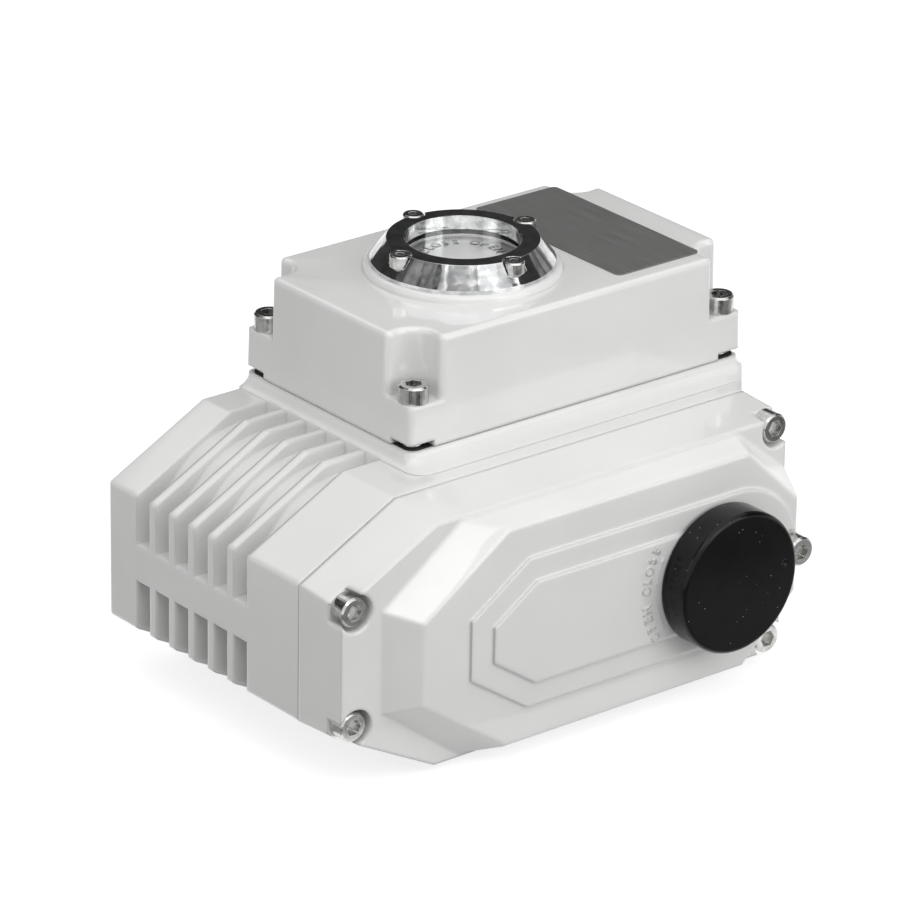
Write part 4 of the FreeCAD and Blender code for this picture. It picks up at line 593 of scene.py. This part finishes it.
def white_ground():
    """Matt grey paper, lifted to white where it is seen, so that only a soft shadow is left."""
    material = bpy.data.materials.new("white_ground")
    material.use_nodes = True
    tree = material.node_tree
    tree.nodes.clear()
    paper = add(tree, "ShaderNodeBsdfDiffuse", {"Color": linear("#A6A6A6")})
    glow = add(tree, "ShaderNodeMath", {0: seen_rays(tree), 1: FLOOR_GLOW}, operation="MULTIPLY")
    light = add(tree, "ShaderNodeEmission", {"Strength": glow.outputs[0]})
    both = add(tree, "ShaderNodeAddShader", {0: paper.outputs[0], 1: light.outputs[0]})
    add(tree, "ShaderNodeOutputMaterial", {"Surface": both.outputs[0]})
    return material


def studio_cloth(name, dark, light):
    """Matt cloth of the screens that the bright metal mirrors, in folds about 250 mm wide."""
    material, tree, shader, place = new_material(name, Roughness=0.9)
    folds = patches(tree, place, size_mm=250, detail=2.0, stretch=(1.0, 1.0, 0.5))
    tone = graded(tree, folds, dark, light, start=0.4, end=0.6)
    tree.links.new(tone, shader.inputs["Base Color"])
    return material


def stage_piece(name, points, faces, material):
    """A piece of the studio, which isn't part of the object."""
    piece = new_object(name, points, faces)
    piece.data.materials.append(material)
    return piece


def level_sheet(name, x, y, z, material):
    """A flat sheet of the studio between two places along x and two along y."""
    corners = [(x[0], y[0], z), (x[1], y[0], z), (x[1], y[1], z), (x[0], y[1], z)]
    return stage_piece(name, corners, [(0, 1, 2, 3)], material)


def only_in_gloss(piece):
    """Hides a piece of the studio from all but glossy rays."""
    piece.visible_camera = piece.visible_diffuse = False
    piece.visible_transmission = piece.visible_shadow = False


def screen(name, start, end, radius, low, high, cloth):
    """A curved cloth screen that stands round the object and is seen only in reflections.

    Its points lie on a cylinder between two angles round the object and two heights.
    """
    angle = np.radians(np.linspace(start, end, 24))[None, :]
    z = np.array([low, high])[:, None] + 0 * angle
    points = np.stack([radius * np.cos(angle) + 0 * z, radius * np.sin(angle) + 0 * z, z], -1)
    only_in_gloss(stage_piece(name, points.reshape(-1, 3), grid_faces(*z.shape), cloth))


def studio_world():
    """White where it is seen, and a soft grey dome for the light that falls on the object."""
    world = bpy.data.worlds.new("studio")
    bpy.context.scene.world = world
    world.use_nodes = True
    tree = world.node_tree
    tree.nodes.clear()
    strength = add(tree, "ShaderNodeMapRange",
                   {"Value": seen_rays(tree), "To Min": DOME, "To Max": 1.0})
    glow = add(tree, "ShaderNodeBackground",
               {"Color": (1, 1, 1, 1), "Strength": strength.outputs[0]})
    add(tree, "ShaderNodeOutputWorld", {"Surface": glow.outputs[0]})


def softbox(name, place, target, size, power):
    """A rectangular lamp that faces a point."""
    lamp = bpy.data.lights.new(name, "AREA")
    lamp.shape = "RECTANGLE"
    lamp.size, lamp.size_y = size
    lamp.energy = power
    holder = bpy.data.objects.new(name, lamp)
    holder.location = place
    holder.rotation_euler = (Vector(target) - Vector(place)).to_track_quat("-Z", "Y").to_euler()
    bpy.context.scene.collection.objects.link(holder)


def camera():
    """The camera solved from the photograph: direction, roll, distance and focal length."""
    azimuth, elevation, roll = radians(-39.14), radians(23.32), radians(0.92)
    aim_mm, distance_mm = (-12.23, -10.0, 70.5), 2040.75
    focal_pixels, frame_pixels, sensor_mm = 6269.14, 900, 36.0
    back = Vector((sin(azimuth) * cos(elevation), -cos(azimuth) * cos(elevation), sin(elevation)))
    right = Vector((cos(azimuth), sin(azimuth), 0))
    up = back.cross(right)
    right, up = cos(roll) * right + sin(roll) * up, -sin(roll) * right + cos(roll) * up
    data = bpy.data.cameras.new("camera")
    data.sensor_width = sensor_mm
    data.lens = focal_pixels * sensor_mm / frame_pixels
    data.clip_end = 50.0
    holder = bpy.data.objects.new("camera", data)
    place = Vector(aim_mm) * MM + back * distance_mm * MM
    turn = Matrix((right, up, back)).transposed().to_4x4()
    holder.matrix_world = Matrix.Translation(place) @ turn
    bpy.context.scene.collection.objects.link(holder)
    bpy.context.scene.camera = holder


# The floor lies 0.3 mm below the mounting face, so that the two faces never mix
FLOOR_HALF, FLOOR_Z = 6.0, -0.0003
level_sheet("floor", (-FLOOR_HALF, FLOOR_HALF), (-FLOOR_HALF, FLOOR_HALF), FLOOR_Z, white_ground())
studio_world()

# What the bright metal and the black knob mirror: cloth on screens and on the floor
DARK_CLOTH = studio_cloth("dark_studio_cloth", "#333333", "#3D3D3D")
FOLDED_CLOTH = studio_cloth("folded_studio_cloth", "#303030", "#A8A8A8")
GREY_CLOTH = studio_cloth("grey_studio_cloth", "#989898", "#A4A4A4")
PALE_CLOTH = studio_cloth("pale_folded_studio_cloth", "#242424", "#A4A4A4")
WHITE_CLOTH = studio_cloth("white_folded_studio_cloth", "#A8A8A8", "#F4F4F4")
screen("back_screen", 25, 150, 1.6, 0.2, 1.35, DARK_CLOTH)
screen("right_screen", -75, -15, 1.6, 0.35, 1.6, DARK_CLOTH)
screen("narrow_screen", -15, 25, 1.6, 0.35, 1.6, FOLDED_CLOTH)
screen("high_left_screen", 105, 200, 1.0, 0.75, 1.9, FOLDED_CLOTH)
screen("high_front_screen", 205, 258, 0.8, 1.0, 2.0, WHITE_CLOTH)
CLOTH_Z = 0.001      # just above the floor
for name, x, y, cloth in (("front_floor_cloth", (-0.35, 0.55), (-0.75, -0.112), PALE_CLOTH),
                          ("left_floor_cloth", (-1.3, -0.125), (-0.112, 1.3), GREY_CLOTH)):
    only_in_gloss(level_sheet(name, x, y, CLOTH_Z, cloth))

CENTRE = (-0.01, -0.01, 0.06)      # what the lamps face
for lamp_name, place, size, power in LAMPS:
    softbox(lamp_name, place, CENTRE, size, power)
camera()
bpy.context.scene.view_settings.view_transform = "Standard"
